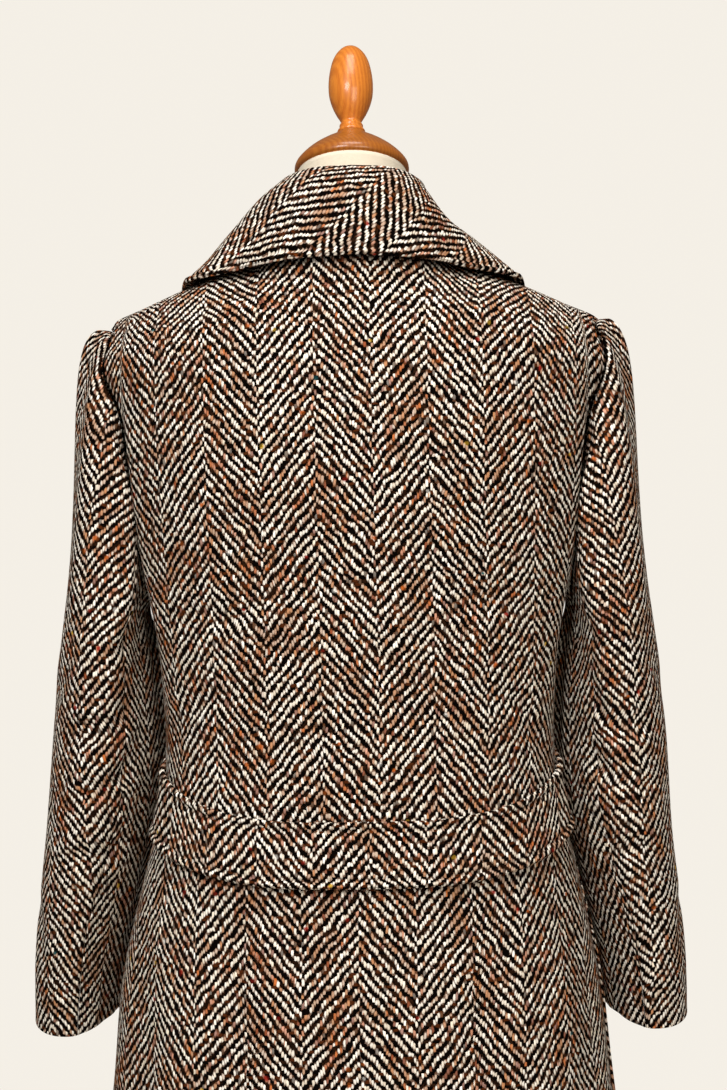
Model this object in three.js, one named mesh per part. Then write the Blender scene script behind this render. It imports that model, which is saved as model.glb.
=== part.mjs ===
// Wool overcoat with a wide collar and a half belt, worn by a limbless dress form on a round stand.
// Millimetres, +Z up, the floor at z = 0, the coat's front towards -Y and the wearer's left at +X.
// Every cloth piece is a thin wall: a grid of points on the garment's surface and the same grid moved inwards.
import * as THREE from "three";

// ---------------------------------------------------------------- driving dimensions
const CLOTH = 2.6; // thickness of the heavy tweed
const BELT_THICK = 4.2; // two layers of cloth
const COLLAR_THICK = 3.4; // top collar and under collar
const LAPEL_THICK = 3.2; // facing and turned front
const SEAM = 0.3; // gap between two sewn pieces
const HEM = 380; // height of the coat's hem
const NAPE = 1420; // height of the neck seam at the centre back
const UNDERARM = 1105; // level at which the armhole starts
const NECK_X = 72, NECK_Y = 8, NECK_Z = 1402; // neck and shoulder point
const SHOULDER_X = 218, SHOULDER_Y = -4, SHOULDER_Z = 1344; // end of the shoulder seam
const NECK_SHARE = 0.25; // share of a half row that the neckline takes
const NECK_BACK_Y = 72, NECK_FRONT_Y = -62, NECK_FRONT_Z = 1340;
const ARMHOLE_BACK = 0.195, ARMHOLE_FRONT = 0.25; // how far the armhole cuts in, as a share of a half row
const OVERLAP = 30; // each front runs this far past the centre front
const BREAK_LEVEL = 1165; // where the lapels start to turn back
const UNDER_STEP = 3.8; // how far the right front lies outside the left one

// Sections of the coat's body from hem to shoulder: level and height at the centre back, height at the side and the centre
// front, half width, depth behind and before the axis, y of the side, squareness of the outline.
const BODY = [
  { level: 380, side: 380, front: 380, half: 248, back: 178, fore: 176, sideY: 0, square: 2.15 },
  { level: 520, side: 520, front: 520, half: 235, back: 169, fore: 168, sideY: 0, square: 2.15 },
  { level: 678, side: 678, front: 678, half: 217, back: 157, fore: 158, sideY: 0, square: 2.2 },
  { level: 778, side: 778, front: 778, half: 206, back: 148, fore: 150, sideY: 0, square: 2.2 },
  { level: 864, side: 864, front: 864, half: 188, back: 136, fore: 138, sideY: 0, square: 2.2 },
  { level: 925, side: 925, front: 925, half: 174, back: 125, fore: 129, sideY: 0, square: 2.2 },
  { level: 985, side: 985, front: 985, half: 168.5, back: 118, fore: 125, sideY: 0, square: 2.2 },
  { level: 1045, side: 1045, front: 1045, half: 176, back: 116, fore: 131, sideY: 0, square: 2.2 },
  { level: 1105, side: 1105, front: 1105, half: 187, back: 118, fore: 138, sideY: -2, square: 2.2 },
  { level: 1180, side: 1176, front: 1172, half: 200, back: 121, fore: 138, sideY: -3, square: 2.25 },
  { level: 1265, side: 1254, front: 1240, half: 213, back: 117, fore: 124, sideY: -4, square: 2.3 },
  { level: 1350, side: 1312, front: 1296, half: 219, back: 99, fore: 100, sideY: -4, square: 2.3 },
];
// Two rows that round the shoulder off between the last section and the shoulder seam: shares of the way there.
const ROUNDING = [
  { level: 1385, across: 0.46, up: 0.67 },
  { level: 1406, across: 0.78, up: 0.905 },
];

// Sections of the left sleeve below the armhole: height of its axis, outer and inner x, y of its axis, half depth, pitch in degrees.
const SLEEVE = [
  { z: 1072, outer: 257.5, inner: 182, y: -6, half: 63, pitch: 0 },
  { z: 1015, outer: 263, inner: 176.5, y: -6, half: 62, pitch: 1 },
  { z: 928, outer: 272.5, inner: 180, y: -10, half: 61, pitch: 4 },
  { z: 841, outer: 282, inner: 200, y: -19, half: 59, pitch: 6 },
  { z: 790, outer: 286.5, inner: 212, y: -26, half: 57, pitch: 7 },
  { z: 738, outer: 290, inner: 219, y: -33, half: 55, pitch: 7 },
];
// The elbow seam: height, and its angle round the sleeve from the outermost line towards the back.
const ELBOW_SEAM = [
  { z: 1400, angle: 104 },
  { z: 1120, angle: 122 },
  { z: 945, angle: 127 },
  { z: 870, angle: 116 },
  { z: 830, angle: 106 },
  { z: 775, angle: 109 },
  { z: 700, angle: 113 },
];
const FRONT_SEAM_ANGLE = -128;

// The half belt: share of a half row, level of its upper and of its lower edge.
const BELT = [
  { share: 0.0, upper: 929, lower: 877 },
  { share: 0.25, upper: 930, lower: 878 },
  { share: 0.45, upper: 936, lower: 884 },
  { share: 0.65, upper: 948, lower: 895 },
  { share: 0.82, upper: 962, lower: 907 },
  { share: 0.955, upper: 975, lower: 918 },
];
const BELT_REACH = 0.955;
const WAIST_SEAM = [
  { share: 0, level: 903 },
  { share: 0.45, level: 910 },
  { share: 1, level: 946 },
];

// Stations along the left half of the collar, from the centre back to its front end: the neck seam, the roll line, how
// steeply the fall leaves the roll line, and the
// free edge, which lies on the body at an x and a level, so far out, in front or behind.
const COLLAR = [
  { along: 0.0, seam: [0, 73, 1423], roll: [0, 66, 1463], drop: 0.03, edge: { x: 0, z: 1383, out: 7, front: 0 } },
  { along: 0.16, seam: [32, 68, 1421], roll: [31, 58, 1463], drop: 0, edge: { x: 54, z: 1378.5, out: 7, front: 0 } },
  { along: 0.3, seam: [58, 50, 1417], roll: [51, 39, 1461], drop: -0.12, edge: { x: 98, z: 1372, out: 5, front: 0 } },
  { along: 0.43, seam: [71, 28, 1411], roll: [58, 15, 1457], drop: -0.22, edge: { x: 131, z: 1368, out: 5.5, front: 0 } },
  { along: 0.55, seam: [73, 4, 1406], roll: [60, -8, 1449], drop: -0.2, edge: { x: 151, z: 1367, out: 8, front: 0 } },
  { along: 0.67, seam: [69.5, -12, 1388], roll: [59, -32, 1428], drop: -0.08, edge: { x: 155, z: 1352, out: 9, front: 1 } },
  { along: 0.79, seam: [63, -36, 1369.5], roll: [55.5, -55, 1400], drop: -0.1, edge: { x: 157, z: 1328, out: 5, front: 1 } },
  { along: 0.9, seam: [54.5, -60, 1347.5], roll: [50.5, -75, 1366], drop: -0.16, edge: { x: 156, z: 1305, out: 4, front: 1 } },
  { along: 1.0, seam: [46, -82.5, 1328.5], roll: [44.5, -90, 1336], drop: -0.2, edge: { x: 150, z: 1284, out: 4, front: 1 } },
];

// The lapels, as x and height on the left front: foot, bow of the outer edge, point, and the notch on the gorge seam.
const LAPEL_FOOT = [-28, 1162], LAPEL_BOW = [92, 1192], LAPEL_POINT = [154, 1258], GORGE_END = [104, 1300], NOTCH = 0.56;
const ROLL_TOP = [45, 1324]; // where the roll line meets the gorge seam
const BUTTON = { count: 4, top: 1146, step: 128, radius: 14, thick: 4.5, stand: 2 };

// The dress form's outline: height, half width, depth behind and before the axis, and how much the section leans.
const TORSO = [
  { z: 770, half: 150, back: 100, fore: 94, lean: 0 },
  { z: 780, half: 166, back: 112, fore: 104, lean: 0 },
  { z: 810, half: 172, back: 117, fore: 108, lean: 0 },
  { z: 864, half: 166, back: 111, fore: 108, lean: 0 },
  { z: 925, half: 147, back: 98, fore: 104, lean: 0 },
  { z: 985, half: 133, back: 90, fore: 99, lean: 0 },
  { z: 1045, half: 142, back: 93, fore: 111, lean: 0 },
  { z: 1105, half: 156, back: 99, fore: 124, lean: 0 },
  { z: 1160, half: 163, back: 102, fore: 127, lean: 0 },
  { z: 1220, half: 167, back: 101, fore: 111, lean: 0 },
  { z: 1270, half: 174, back: 94, fore: 93, lean: 0 },
  { z: 1310, half: 180, back: 82, fore: 79, lean: 0 },
  { z: 1326, half: 178, back: 66, fore: 54, lean: 0 },
  { z: 1342, half: 144, back: 56, fore: 44, lean: 0 },
  { z: 1357, half: 100, back: 53, fore: 36, lean: 0 },
  { z: 1373, half: 70, back: 52, fore: 33, lean: 0 },
  { z: 1394, half: 57, back: 51, fore: 40, lean: 0.04 },
  { z: 1428, half: 51, back: 51, fore: 47, lean: 0.12 },
  { z: 1472, half: 47.5, back: 47.5, fore: 47.5, lean: 0.23 },
];
const CAP_TILT = 0.2267; // radians, the neck's top slopes down towards the front
// Turned wood, radius and height above the neck's top: the neck cap, then the finial.
const CAP = [[0, 0], [47.6, 0], [49.2, 1.5], [49.6, 6], [48.6, 8.4], [46, 11.8], [41.5, 16.6], [35, 22.2], [27.5, 27.6], [20, 32.4], [14.5, 36.4], [12.6, 38.3], [0, 38.3]];
const FINIAL = [[0, 38.6], [11.8, 38.6], [12.2, 40.2], [10.2, 43.4], [10.3, 46], [8.7, 48.4], [10, 51.6], [12.8, 56.5], [16.6, 65], [19, 74], [19.6, 82], [19.2, 91], [17.8, 100], [15.4, 108.5], [11.4, 115.5], [6.4, 120.2], [0, 122]];
const POLE = [[0, 44.3], [17, 44.3], [17, 740], [23, 744], [23, 769.7], [0, 769.7]];
const BASE = [[0, 0], [192, 0], [195, 4], [195, 16], [188, 22], [120, 28], [60, 34], [36, 38], [30, 44], [0, 44]];

// ---------------------------------------------------------------- small maths
const V = (x, y, z) => new THREE.Vector3(x, y, z);
const mix = (a, b, t) => a + (b - a) * t;
const clamp = (x, lo, hi) => Math.min(hi, Math.max(lo, x));
const smooth = (a, b, x) => { const t = clamp((x - a) / (b - a), 0, 1); return t * t * (3 - 2 * t); };
const DEG = Math.PI / 180;

// A smooth curve through values at knots: cubic pieces with slopes from the neighbouring knots.
function through(knots, values, x) {
  const last = knots.length - 1;
  x = clamp(x, knots[0], knots[last]);
  let k = 0;
  while (k < last - 1 && x > knots[k + 1]) k++;
  const slope = (i) => {
    if (i === 0) return (values[1] - values[0]) / (knots[1] - knots[0]);
    if (i === last) return (values[last] - values[last - 1]) / (knots[last] - knots[last - 1]);
    const a = knots[i] - knots[i - 1], b = knots[i + 1] - knots[i];
    return ((values[i] - values[i - 1]) / a * b + (values[i + 1] - values[i]) / b * a) / (a + b);
  };
  const h = knots[k + 1] - knots[k], t = (x - knots[k]) / h;
  const m0 = slope(k) * h, m1 = slope(k + 1) * h, t2 = t * t, t3 = t2 * t;
  return values[k] * (2 * t3 - 3 * t2 + 1) + m0 * (t3 - 2 * t2 + t) + values[k + 1] * (3 * t2 - 2 * t3) + m1 * (t3 - t2);
}
const column = (table, key, name, x) => through(table.map((r) => r[key]), table.map((r) => r[name]), x);

// ---------------------------------------------------------------- the coat's body as one surface
// share runs from 0 at the centre back or front to 1 at the left side; past 0 it goes on to the other side.
function section(row, share, front) {
  const s = Math.sin(share * 90 * DEG), c = Math.max(0, Math.cos(share * 90 * DEG)), e = 2 / row.square;
  const middle = front ? row.front : row.level, depth = front ? -row.fore : row.back;
  return V(row.half * Math.sign(s) * Math.abs(s) ** e, row.sideY + (depth - row.sideY) * c ** e, middle + (row.side - middle) * s * s);
}
function shoulderRow(share, front) {
  const g = Math.abs(share), sign = share < 0 ? -1 : 1;
  if (g <= NECK_SHARE) {
    const s = Math.sin((g / NECK_SHARE) * 90 * DEG), c = Math.cos((g / NECK_SHARE) * 90 * DEG);
    return V(sign * NECK_X * s, NECK_Y + ((front ? NECK_FRONT_Y : NECK_BACK_Y) - NECK_Y) * c, front ? mix(NECK_FRONT_Z, NECK_Z, 1 - c) : mix(NECK_Z, NAPE, c));
  }
  const t = (g - NECK_SHARE) / (1 - NECK_SHARE);
  return V(sign * mix(NECK_X, SHOULDER_X, t), mix(NECK_Y, SHOULDER_Y, t), mix(NECK_Z, SHOULDER_Z, t));
}
function roundedRow(r, share, front) {
  const a = section(BODY[BODY.length - 1], share, front), b = shoulderRow(share, front);
  const up = mix(mix(r.across, r.up, 0.35), r.up, smooth(NECK_SHARE * 0.4, NECK_SHARE * 1.5, Math.abs(share)));
  return V(mix(a.x, b.x, r.across), mix(a.y, b.y, r.across), mix(a.z, b.z, up));
}
const LEVELS = [...BODY.map((r) => r.level), ...ROUNDING.map((r) => r.level), NAPE];
function body(share, level, front) {
  const points = [...BODY.map((r) => section(r, share, front)), ...ROUNDING.map((r) => roundedRow(r, share, front)), shoulderRow(share, front)];
  return V(...["x", "y", "z"].map((axis) => through(LEVELS, points.map((p) => p[axis]), level)));
}
function plainNormal(share, level, front) {
  const d = 0.004, h = 1.5, up = Math.min(level + h, NAPE), down = Math.max(up - 2 * h, HEM);
  const across = body(share + d, level, front).sub(body(share - d, level, front));
  const along = body(share, up, front).sub(body(share, down, front));
  const n = across.cross(along).normalize();
  return front ? n : n.negate();
}
// At the shoulder seam both panels share one direction, so that their walls stand side by side.
function bodyNormal(share, level, front) {
  const s = clamp(share, -0.995, 0.995), n = plainNormal(s, level, front);
  if (Math.abs(share) <= NECK_SHARE * 1.02 || level < NAPE - 14) return n;
  return n.add(plainNormal(s, level, !front).multiplyScalar(smooth(NAPE - 14, NAPE - 2, level))).normalize();
}
// The share at which a row of the body reaches an x.
function shareAt(x, level, front) {
  let lo = -0.9, hi = 1;
  for (let i = 0; i < 30; i++) {
    const m = (lo + hi) / 2;
    if (body(m, level, front).x < x) lo = m;
    else hi = m;
  }
  return (lo + hi) / 2;
}
// The spot on the body at an x and a height.
function spot(x, z, front) {
  let lo = HEM, hi = NAPE;
  for (let i = 0; i < 24; i++) {
    const m = (lo + hi) / 2;
    if (body(shareAt(x, m, front), m, front).z < z) lo = m;
    else hi = m;
  }
  const level = (lo + hi) / 2;
  return { share: shareAt(x, level, front), level };
}
const onBody = (share, level, front, out) => body(share, level, front).addScaledVector(bodyNormal(share, level, front), out);

function armholeDepth(c, front) {
  return (front ? ARMHOLE_FRONT : ARMHOLE_BACK) * Math.sqrt(Math.max(0, 1 - c * c)) ** (c > 0 ? 2.1 : 1.15);
}
// The armhole as a curve on the body: 0 at the shoulder, 90 at the back, 180 under the arm, 270 at the front.
function armhole(angle, inset = 0) {
  const c = Math.cos(angle * DEG), s = Math.sin(angle * DEG), front = s < 0;
  const depth = armholeDepth(c, front);
  return { share: 1 - depth - inset, level: mix(UNDERARM, NAPE, (1 + c) / 2), front };
}
function edgeShare(level, front) {
  if (level <= UNDERARM) return 1;
  const c = clamp(2 * (level - UNDERARM) / (NAPE - UNDERARM) - 1, -1, 1);
  return 1 - armholeDepth(c, front);
}

// ---------------------------------------------------------------- walls from grids
// grid[i][j] holds a point p and the outward direction n; the wall reaches `thick` inwards from it.
function wall(grid, thick) {
  const rows = grid.length, cols = grid[0].length, count = rows * cols, position = [];
  for (const inner of [0, 1])
    for (const row of grid)
      for (const { p, n } of row) position.push(p.x - n.x * thick * inner, p.y - n.y * thick * inner, p.z - n.z * thick * inner);
  const index = [], at = (i, j, inner) => i * cols + j + inner * count;
  const quad = (a, b, c, d) => index.push(a, b, c, a, c, d);
  for (let i = 0; i < rows - 1; i++)
    for (let j = 0; j < cols - 1; j++) {
      quad(at(i, j, 0), at(i, j + 1, 0), at(i + 1, j + 1, 0), at(i + 1, j, 0));
      quad(at(i, j, 1), at(i + 1, j, 1), at(i + 1, j + 1, 1), at(i, j + 1, 1));
    }
  for (let j = 0; j < cols - 1; j++) {
    quad(at(0, j, 0), at(0, j, 1), at(0, j + 1, 1), at(0, j + 1, 0));
    quad(at(rows - 1, j, 0), at(rows - 1, j + 1, 0), at(rows - 1, j + 1, 1), at(rows - 1, j, 1));
  }
  for (let i = 0; i < rows - 1; i++) {
    quad(at(i, 0, 0), at(i + 1, 0, 0), at(i + 1, 0, 1), at(i, 0, 1));
    quad(at(i, cols - 1, 0), at(i, cols - 1, 1), at(i + 1, cols - 1, 1), at(i + 1, cols - 1, 0));
  }
  return facingOut(position, index);
}
function facingOut(position, index) {
  let volume = 0;
  const p = (k) => V(position[3 * k], position[3 * k + 1], position[3 * k + 2]);
  for (let k = 0; k < index.length; k += 3) volume += p(index[k]).dot(p(index[k + 1]).cross(p(index[k + 2])));
  if (volume < 0) for (let k = 0; k < index.length; k += 3) [index[k + 1], index[k + 2]] = [index[k + 2], index[k + 1]];
  const g = new THREE.BufferGeometry();
  g.setAttribute("position", new THREE.Float32BufferAttribute(position, 3));
  g.setIndex(index);
  g.computeVertexNormals();
  return g;
}
const mirrored = (grid) => grid.map((row) => row.map(({ p, n }) => ({ p: V(-p.x, p.y, p.z), n: V(-n.x, n.y, n.z) })));

// ---------------------------------------------------------------- materials
const tweed = new THREE.MeshStandardMaterial({ color: 0x6b5a4c, roughness: 0.95, metalness: 0 });
const linen = new THREE.MeshStandardMaterial({ color: 0xf1e8d6, roughness: 0.9, metalness: 0 });
const wood = new THREE.MeshStandardMaterial({ color: 0xb86e2c, roughness: 0.35, metalness: 0 });
const horn = new THREE.MeshStandardMaterial({ color: 0x3a2417, roughness: 0.4, metalness: 0 });

const coat = new THREE.Group();
function add(name, geometry, material, group = coat) {
  const mesh = new THREE.Mesh(geometry, material);
  mesh.name = name;
  group.add(mesh);
  return mesh;
}

// ---------------------------------------------------------------- back, above and below the waist seam
function backGrid(lowOf, highOf, rows, cols, crowd = 1) {
  const grid = [];
  for (let i = 0; i <= rows; i++) {
    const row = [];
    for (let j = 0; j <= cols; j++) {
      const w = mix(-1, 1, j / cols), level = mix(lowOf(Math.abs(w)), highOf(Math.abs(w)), 1 - (1 - i / rows) ** crowd);
      const edge = edgeShare(level, false) - SEAM / 2 / 300;
      const share = w * edge;
      row.push({ p: body(share, level, false), n: bodyNormal(share, level, false) });
    }
    grid.push(row);
  }
  return grid;
}
const waist = (w) => column(WAIST_SEAM, "share", "level", w);
add("back_upper", wall(backGrid((w) => waist(w) + SEAM / 2, () => NAPE - 0.6, 15, 20), CLOTH), tweed);
add("back_skirt", wall(backGrid(() => HEM, (w) => waist(w) - SEAM / 2, 11, 20, 1.45), CLOTH), tweed);

// ---------------------------------------------------------------- half belt, lying on the back
{
  const grid = [];
  for (const v of [0, 0.5, 1]) {
    const row = [];
    for (let j = 0; j <= 20; j++) {
      const w = clamp(mix(-1, 1, j / 20), -BELT_REACH, BELT_REACH), g = Math.abs(w);
      const level = mix(column(BELT, "share", "lower", g), column(BELT, "share", "upper", g), v);
      row.push({ p: onBody(w, level, false, BELT_THICK + 1.2), n: bodyNormal(w, level, false) });
    }
    grid.push(row);
  }
  add("half_belt", wall(grid, BELT_THICK), tweed);
}

// ---------------------------------------------------------------- fronts, in one length from hem to shoulder
// x of the left front's inner edge at a level: past the centre below the break, then along the roll line and the neckline.
const rollX = (z) => mix(LAPEL_FOOT[0], ROLL_TOP[0], (z - LAPEL_FOOT[1]) / (ROLL_TOP[1] - LAPEL_FOOT[1]));
const rollTop = spot(ROLL_TOP[0], ROLL_TOP[1], true);
function innerEdge(level) {
  if (level <= BREAK_LEVEL) return -OVERLAP;
  if (level >= rollTop.level) return mix(ROLL_TOP[0], NECK_X, ((level - rollTop.level) / (NAPE - rollTop.level)) ** 0.8);
  let x = 0;
  for (let i = 0; i < 8; i++) x = Math.max(-OVERLAP, rollX(body(shareAt(x, level, true), level, true).z) - 1);
  return x;
}
// The right front lies over the left one near the centre. Both are made as left fronts and the right one is mirrored.
const overStep = (x, level) => UNDER_STEP * (1 - smooth(36, 82, x)) * (1 - smooth(1290, 1350, level));
function frontPoint(x, level, over, out = 0) {
  const share = shareAt(x, level, true);
  return { p: onBody(share, level, true, out + (over ? overStep(x, level) : 0)), n: bodyNormal(share, level, true) };
}
const FRONT_LEVELS = [380, 450, 520, 600, 678, 730, 778, 821, 864, 895, 925, 955, 985, 1015, 1045, 1075, 1105, 1135, BREAK_LEVEL, 1205, 1245, 1285, 1318, 1342, 1362, rollTop.level, 1398, 1410, NAPE - 0.6];
function frontGrid(over) {
  return FRONT_LEVELS.map((level) => {
    const row = [], inner = shareAt(Math.min(innerEdge(level), NECK_X - 0.2), level, true);
    const from = level > NAPE - 1 ? NECK_SHARE : inner, to = edgeShare(level, true) - SEAM / 2 / 300;
    const flat = Math.min(Math.max(shareAt(40, level, true), from + 0.1), mix(from, to, 0.4));
    for (let j = 0; j <= 9; j++) {
      const share = j < 2 ? mix(from, flat, j / 2) : mix(flat, to, (j - 2) / 7), p = body(share, level, true), n = bodyNormal(share, level, true);
      row.push({ p: p.addScaledVector(n, over ? overStep(p.x, level) : 0), n });
    }
    return row;
  });
}
add("front_left", wall(frontGrid(false), CLOTH), tweed);
add("front_right", wall(mirrored(frontGrid(true)), CLOTH), tweed);

// ---------------------------------------------------------------- lapels: the facings turned back over the fronts
const outerEdge = (v) => [0, 1].map((k) => (1 - v) ** 2 * LAPEL_FOOT[k] + 2 * v * (1 - v) * LAPEL_BOW[k] + v * v * LAPEL_POINT[k]);
// The gorge seam runs from the roll line to the notch, and from there the lapel's top drops to its point.
function topEdge(u) {
  const t = u / NOTCH, w = (u - NOTCH) / (1 - NOTCH);
  return [0, 1].map((k) => (u <= NOTCH ? mix(ROLL_TOP[k], GORGE_END[k], t) : mix(GORGE_END[k], LAPEL_POINT[k], w)));
}
function lapelGrid(over) {
  const grid = [], rows = 10, cols = 9;
  // Under the right front the left lapel is hidden, so it starts at that front's edge.
  let first = 0;
  if (!over) while (outerEdge(first)[0] < -rollX(outerEdge(first)[1]) + 5) first += 0.01;
  for (let i = 0; i <= rows; i++) {
    const row = [], w = i / rows, v = mix(first, 1, w), outer = outerEdge(v);
    const z0 = mix(over ? LAPEL_FOOT[1] : outerEdge(first)[1] + 0.5, ROLL_TOP[1], w), x0 = over ? rollX(z0) : Math.max(rollX(z0), -rollX(z0) + 6);
    for (let j = 0; j <= cols; j++) {
      const u = j / cols, bend = smooth(0.55, 1, w), top = topEdge(u);
      const shape = [mix(ROLL_TOP[0], LAPEL_POINT[0], u), mix(ROLL_TOP[1], LAPEL_POINT[1], u)];
      const x = mix(x0, outer[0], u) + (top[0] - shape[0]) * bend, z = mix(z0, outer[1], u) + (top[1] - shape[1]) * bend;
      const at = spot(Math.max(x, over ? -29 : 0), z, true);
      const p = body(at.share, at.level, true), n = bodyNormal(at.share, at.level, true);
      const rise = LAPEL_THICK + 1.2 + 4.5 * Math.sin(Math.PI * Math.min(1, u * 1.5 + 0.1)) * smooth(0, 0.4, w);
      row.push({ p: p.addScaledVector(n, rise + (over ? overStep(p.x, at.level) : 0)), n });
    }
    grid.push(row);
  }
  return grid;
}
add("lapel_left", wall(lapelGrid(false), LAPEL_THICK), tweed);
add("lapel_right", wall(mirrored(lapelGrid(true)), LAPEL_THICK), tweed);

// ---------------------------------------------------------------- collar: a stand that rises from the neck seam, rolls over and falls wide
function collarStation(along) {
  const a = Math.abs(along), sign = along < 0 ? -1 : 1, knots = COLLAR.map((c) => c.along);
  const read = (points) => V(...[0, 1, 2].map((k) => through(knots, points.map((p) => p[k]), a)));
  const seam = read(COLLAR.map((c) => c.seam)), roll = read(COLLAR.map((c) => c.roll));
  const edge = read(COLLAR_EDGE);
  for (const p of [seam, roll, edge]) p.x *= sign;
  return { seam, roll, edge, drop: column(COLLAR, "along", "drop", a) };
}
const COLLAR_EDGE = COLLAR.map(({ edge }) => {
  const at = spot(edge.x, edge.z, !!edge.front);
  return onBody(at.share, at.level, !!edge.front, edge.out + COLLAR_THICK).toArray();
});
// v from 0 at the neck seam over 0.3 at the roll line to 1 at the free edge
const STAND_SHARE = 0.3;
function collarPoint(along, v) {
  const { seam, roll, edge, drop } = collarStation(along);
  const fall = edge.clone().sub(roll), outward = V(fall.x, fall.y, 0).normalize();
  if (v < STAND_SHARE) {
    const t = v / STAND_SHARE;
    return seam.clone().lerp(roll, t).addScaledVector(outward, -1.5 * Math.sin(Math.PI * t)).add(V(0, 0, 0));
  }
  const t = (v - STAND_SHARE) / (1 - STAND_SHARE), length = fall.length();
  const lead = roll.clone().addScaledVector(outward, 0.31 * length).add(V(0, 0, drop * length));
  const a = (1 - t) ** 2, b = 2 * t * (1 - t), c = t * t;
  return V(a * roll.x + b * lead.x + c * edge.x, a * roll.y + b * lead.y + c * edge.y, a * roll.z + b * lead.z + c * edge.z);
}
{
  const STEPS = [0, 0.16, STAND_SHARE - 0.03, STAND_SHARE + 0.045, 0.44, 0.58, 0.72, 0.86, 1], grid = [];
  const turn = [...STEPS];
  for (const v of turn) {
    const row = [];
    for (let j = 0; j <= 28; j++) {
      const along = mix(-1, 1, j / 28), d = 0.01;
      const dv = collarPoint(along, Math.min(1, v + 0.02)).sub(collarPoint(along, Math.max(0, v - 0.02)));
      const da = collarPoint(Math.min(1, along + d), v).sub(collarPoint(Math.max(-1, along - d), v));
      const n = dv.cross(da).normalize();
      row.push({ p: collarPoint(along, v), n });
    }
    grid.push(row);
  }
  // The outer side is the one that shows: away from the neck on the fall.
  const middle = grid[grid.length - 2][14];
  if (middle.n.y < 0) for (const row of grid) for (const q of row) q.n.negate();
  add("collar", wall(grid, COLLAR_THICK), tweed);
}

// ---------------------------------------------------------------- sleeves: a cap from the armhole to the first ring, then rings
const RINGS = [...SLEEVE].sort((a, b) => a.z - b.z);
function ring(z, angle) {
  const outer = column(RINGS, "z", "outer", z), inner = column(RINGS, "z", "inner", z), y = column(RINGS, "z", "y", z);
  const half = column(RINGS, "z", "half", z), pitch = column(RINGS, "z", "pitch", z) * DEG;
  const c = Math.cos(angle * DEG), s = Math.sin(angle * DEG), e = 0.93;
  const across = Math.sign(c) * Math.abs(c) ** e, deep = Math.sign(s) * Math.abs(s) ** e * half;
  return V((outer + inner) / 2 + (across * (outer - inner)) / 2, y + deep * Math.cos(pitch), z - deep * Math.sin(pitch));
}
const CAP_END = SLEEVE[0].z, CUFF = SLEEVE[SLEEVE.length - 1].z;
// t from 0 at the armhole to 1 at the first ring, then on to 2 at the cuff
function sleeve(angle, t) {
  if (t >= 1) return ring(mix(CAP_END, CUFF, t - 1), angle);
  const hole = armhole(angle), n = bodyNormal(Math.min(hole.share, 0.985), hole.level, hole.front);
  const c = Math.cos(angle * DEG), s = Math.sin(angle * DEG), under = smooth(0.2, 1, -c);
  const start = body(hole.share, hole.level, hole.front).add(V(3.8, 0, 0.4 * (1 + c))).addScaledVector(n, 2.2 * under);
  const end = ring(CAP_END, angle), far = start.distanceTo(end);
  const out = V(1, 0.30 * s, 0.2 * Math.max(0, c) - 0.25 * Math.abs(s)).normalize();
  const lead = start.clone().addScaledVector(out, mix(27, 9, under) * mix(1, 0.62, Math.abs(s))).add(V(0, 0, -4 * under));
  const back = end.clone().add(V(-8 * (1 - under), 0, 0.5 * far));
  const a = (1 - t) ** 3, b = 3 * t * (1 - t) ** 2, d = 3 * t * t * (1 - t), e = t ** 3;
  return V(0, 0, 0).addScaledVector(start, a).addScaledVector(lead, b).addScaledVector(back, d).addScaledVector(end, e);
}
function sleeveNormal(angle, t) {
  const da = sleeve(angle + 2, t).sub(sleeve(angle - 2, t)), dt = sleeve(angle, Math.min(2, t + 0.02)).sub(sleeve(angle, Math.max(0, t - 0.02)));
  return da.cross(dt).normalize();
}
function sleeveGrid(fromOf, toOf, cols) {
  const STEPS = [0, 0.1, 0.22, 0.36, 0.52, 0.7, 0.86, 1, 1.14, 1.28, 1.42, 1.56, 1.7, 1.85, 2], grid = [];
  for (const t of STEPS) {
    const row = [];
    for (let j = 0; j <= cols; j++) {
      const w = j / cols, guess = sleeve(mix(fromOf(1000), toOf(1000), w), t).z;
      const angle = mix(fromOf(guess), toOf(guess), w);
      row.push({ p: sleeve(angle, t), n: sleeveNormal(angle, t) });
    }
    grid.push(row);
  }
  return grid;
}
const SEAM_TABLE = [...ELBOW_SEAM].sort((a, b) => a.z - b.z);
const elbow = (z) => column(SEAM_TABLE, "z", "angle", z);
const GAP_ANGLE = 0.28; // degrees on each side of a sleeve seam
const topSleeve = sleeveGrid(() => FRONT_SEAM_ANGLE + GAP_ANGLE, (z) => elbow(z) - GAP_ANGLE, 13);
const underSleeve = sleeveGrid((z) => elbow(z) + GAP_ANGLE, () => 360 + FRONT_SEAM_ANGLE - GAP_ANGLE, 7);
const outwards = (grid) => {
  const q = grid[grid.length - 3][Math.floor(grid[0].length / 2)], axis = (SLEEVE[3].outer + SLEEVE[3].inner) / 2;
  if ((q.p.x - axis) * q.n.x < 0) for (const row of grid) for (const r of row) r.n.negate();
  return grid;
};
for (const [name, grid] of [["sleeve_top", outwards(topSleeve)], ["sleeve_under", outwards(underSleeve)]]) {
  add(name + "_left", wall(grid, CLOTH), tweed);
  add(name + "_right", wall(mirrored(grid), CLOTH), tweed);
}

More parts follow.
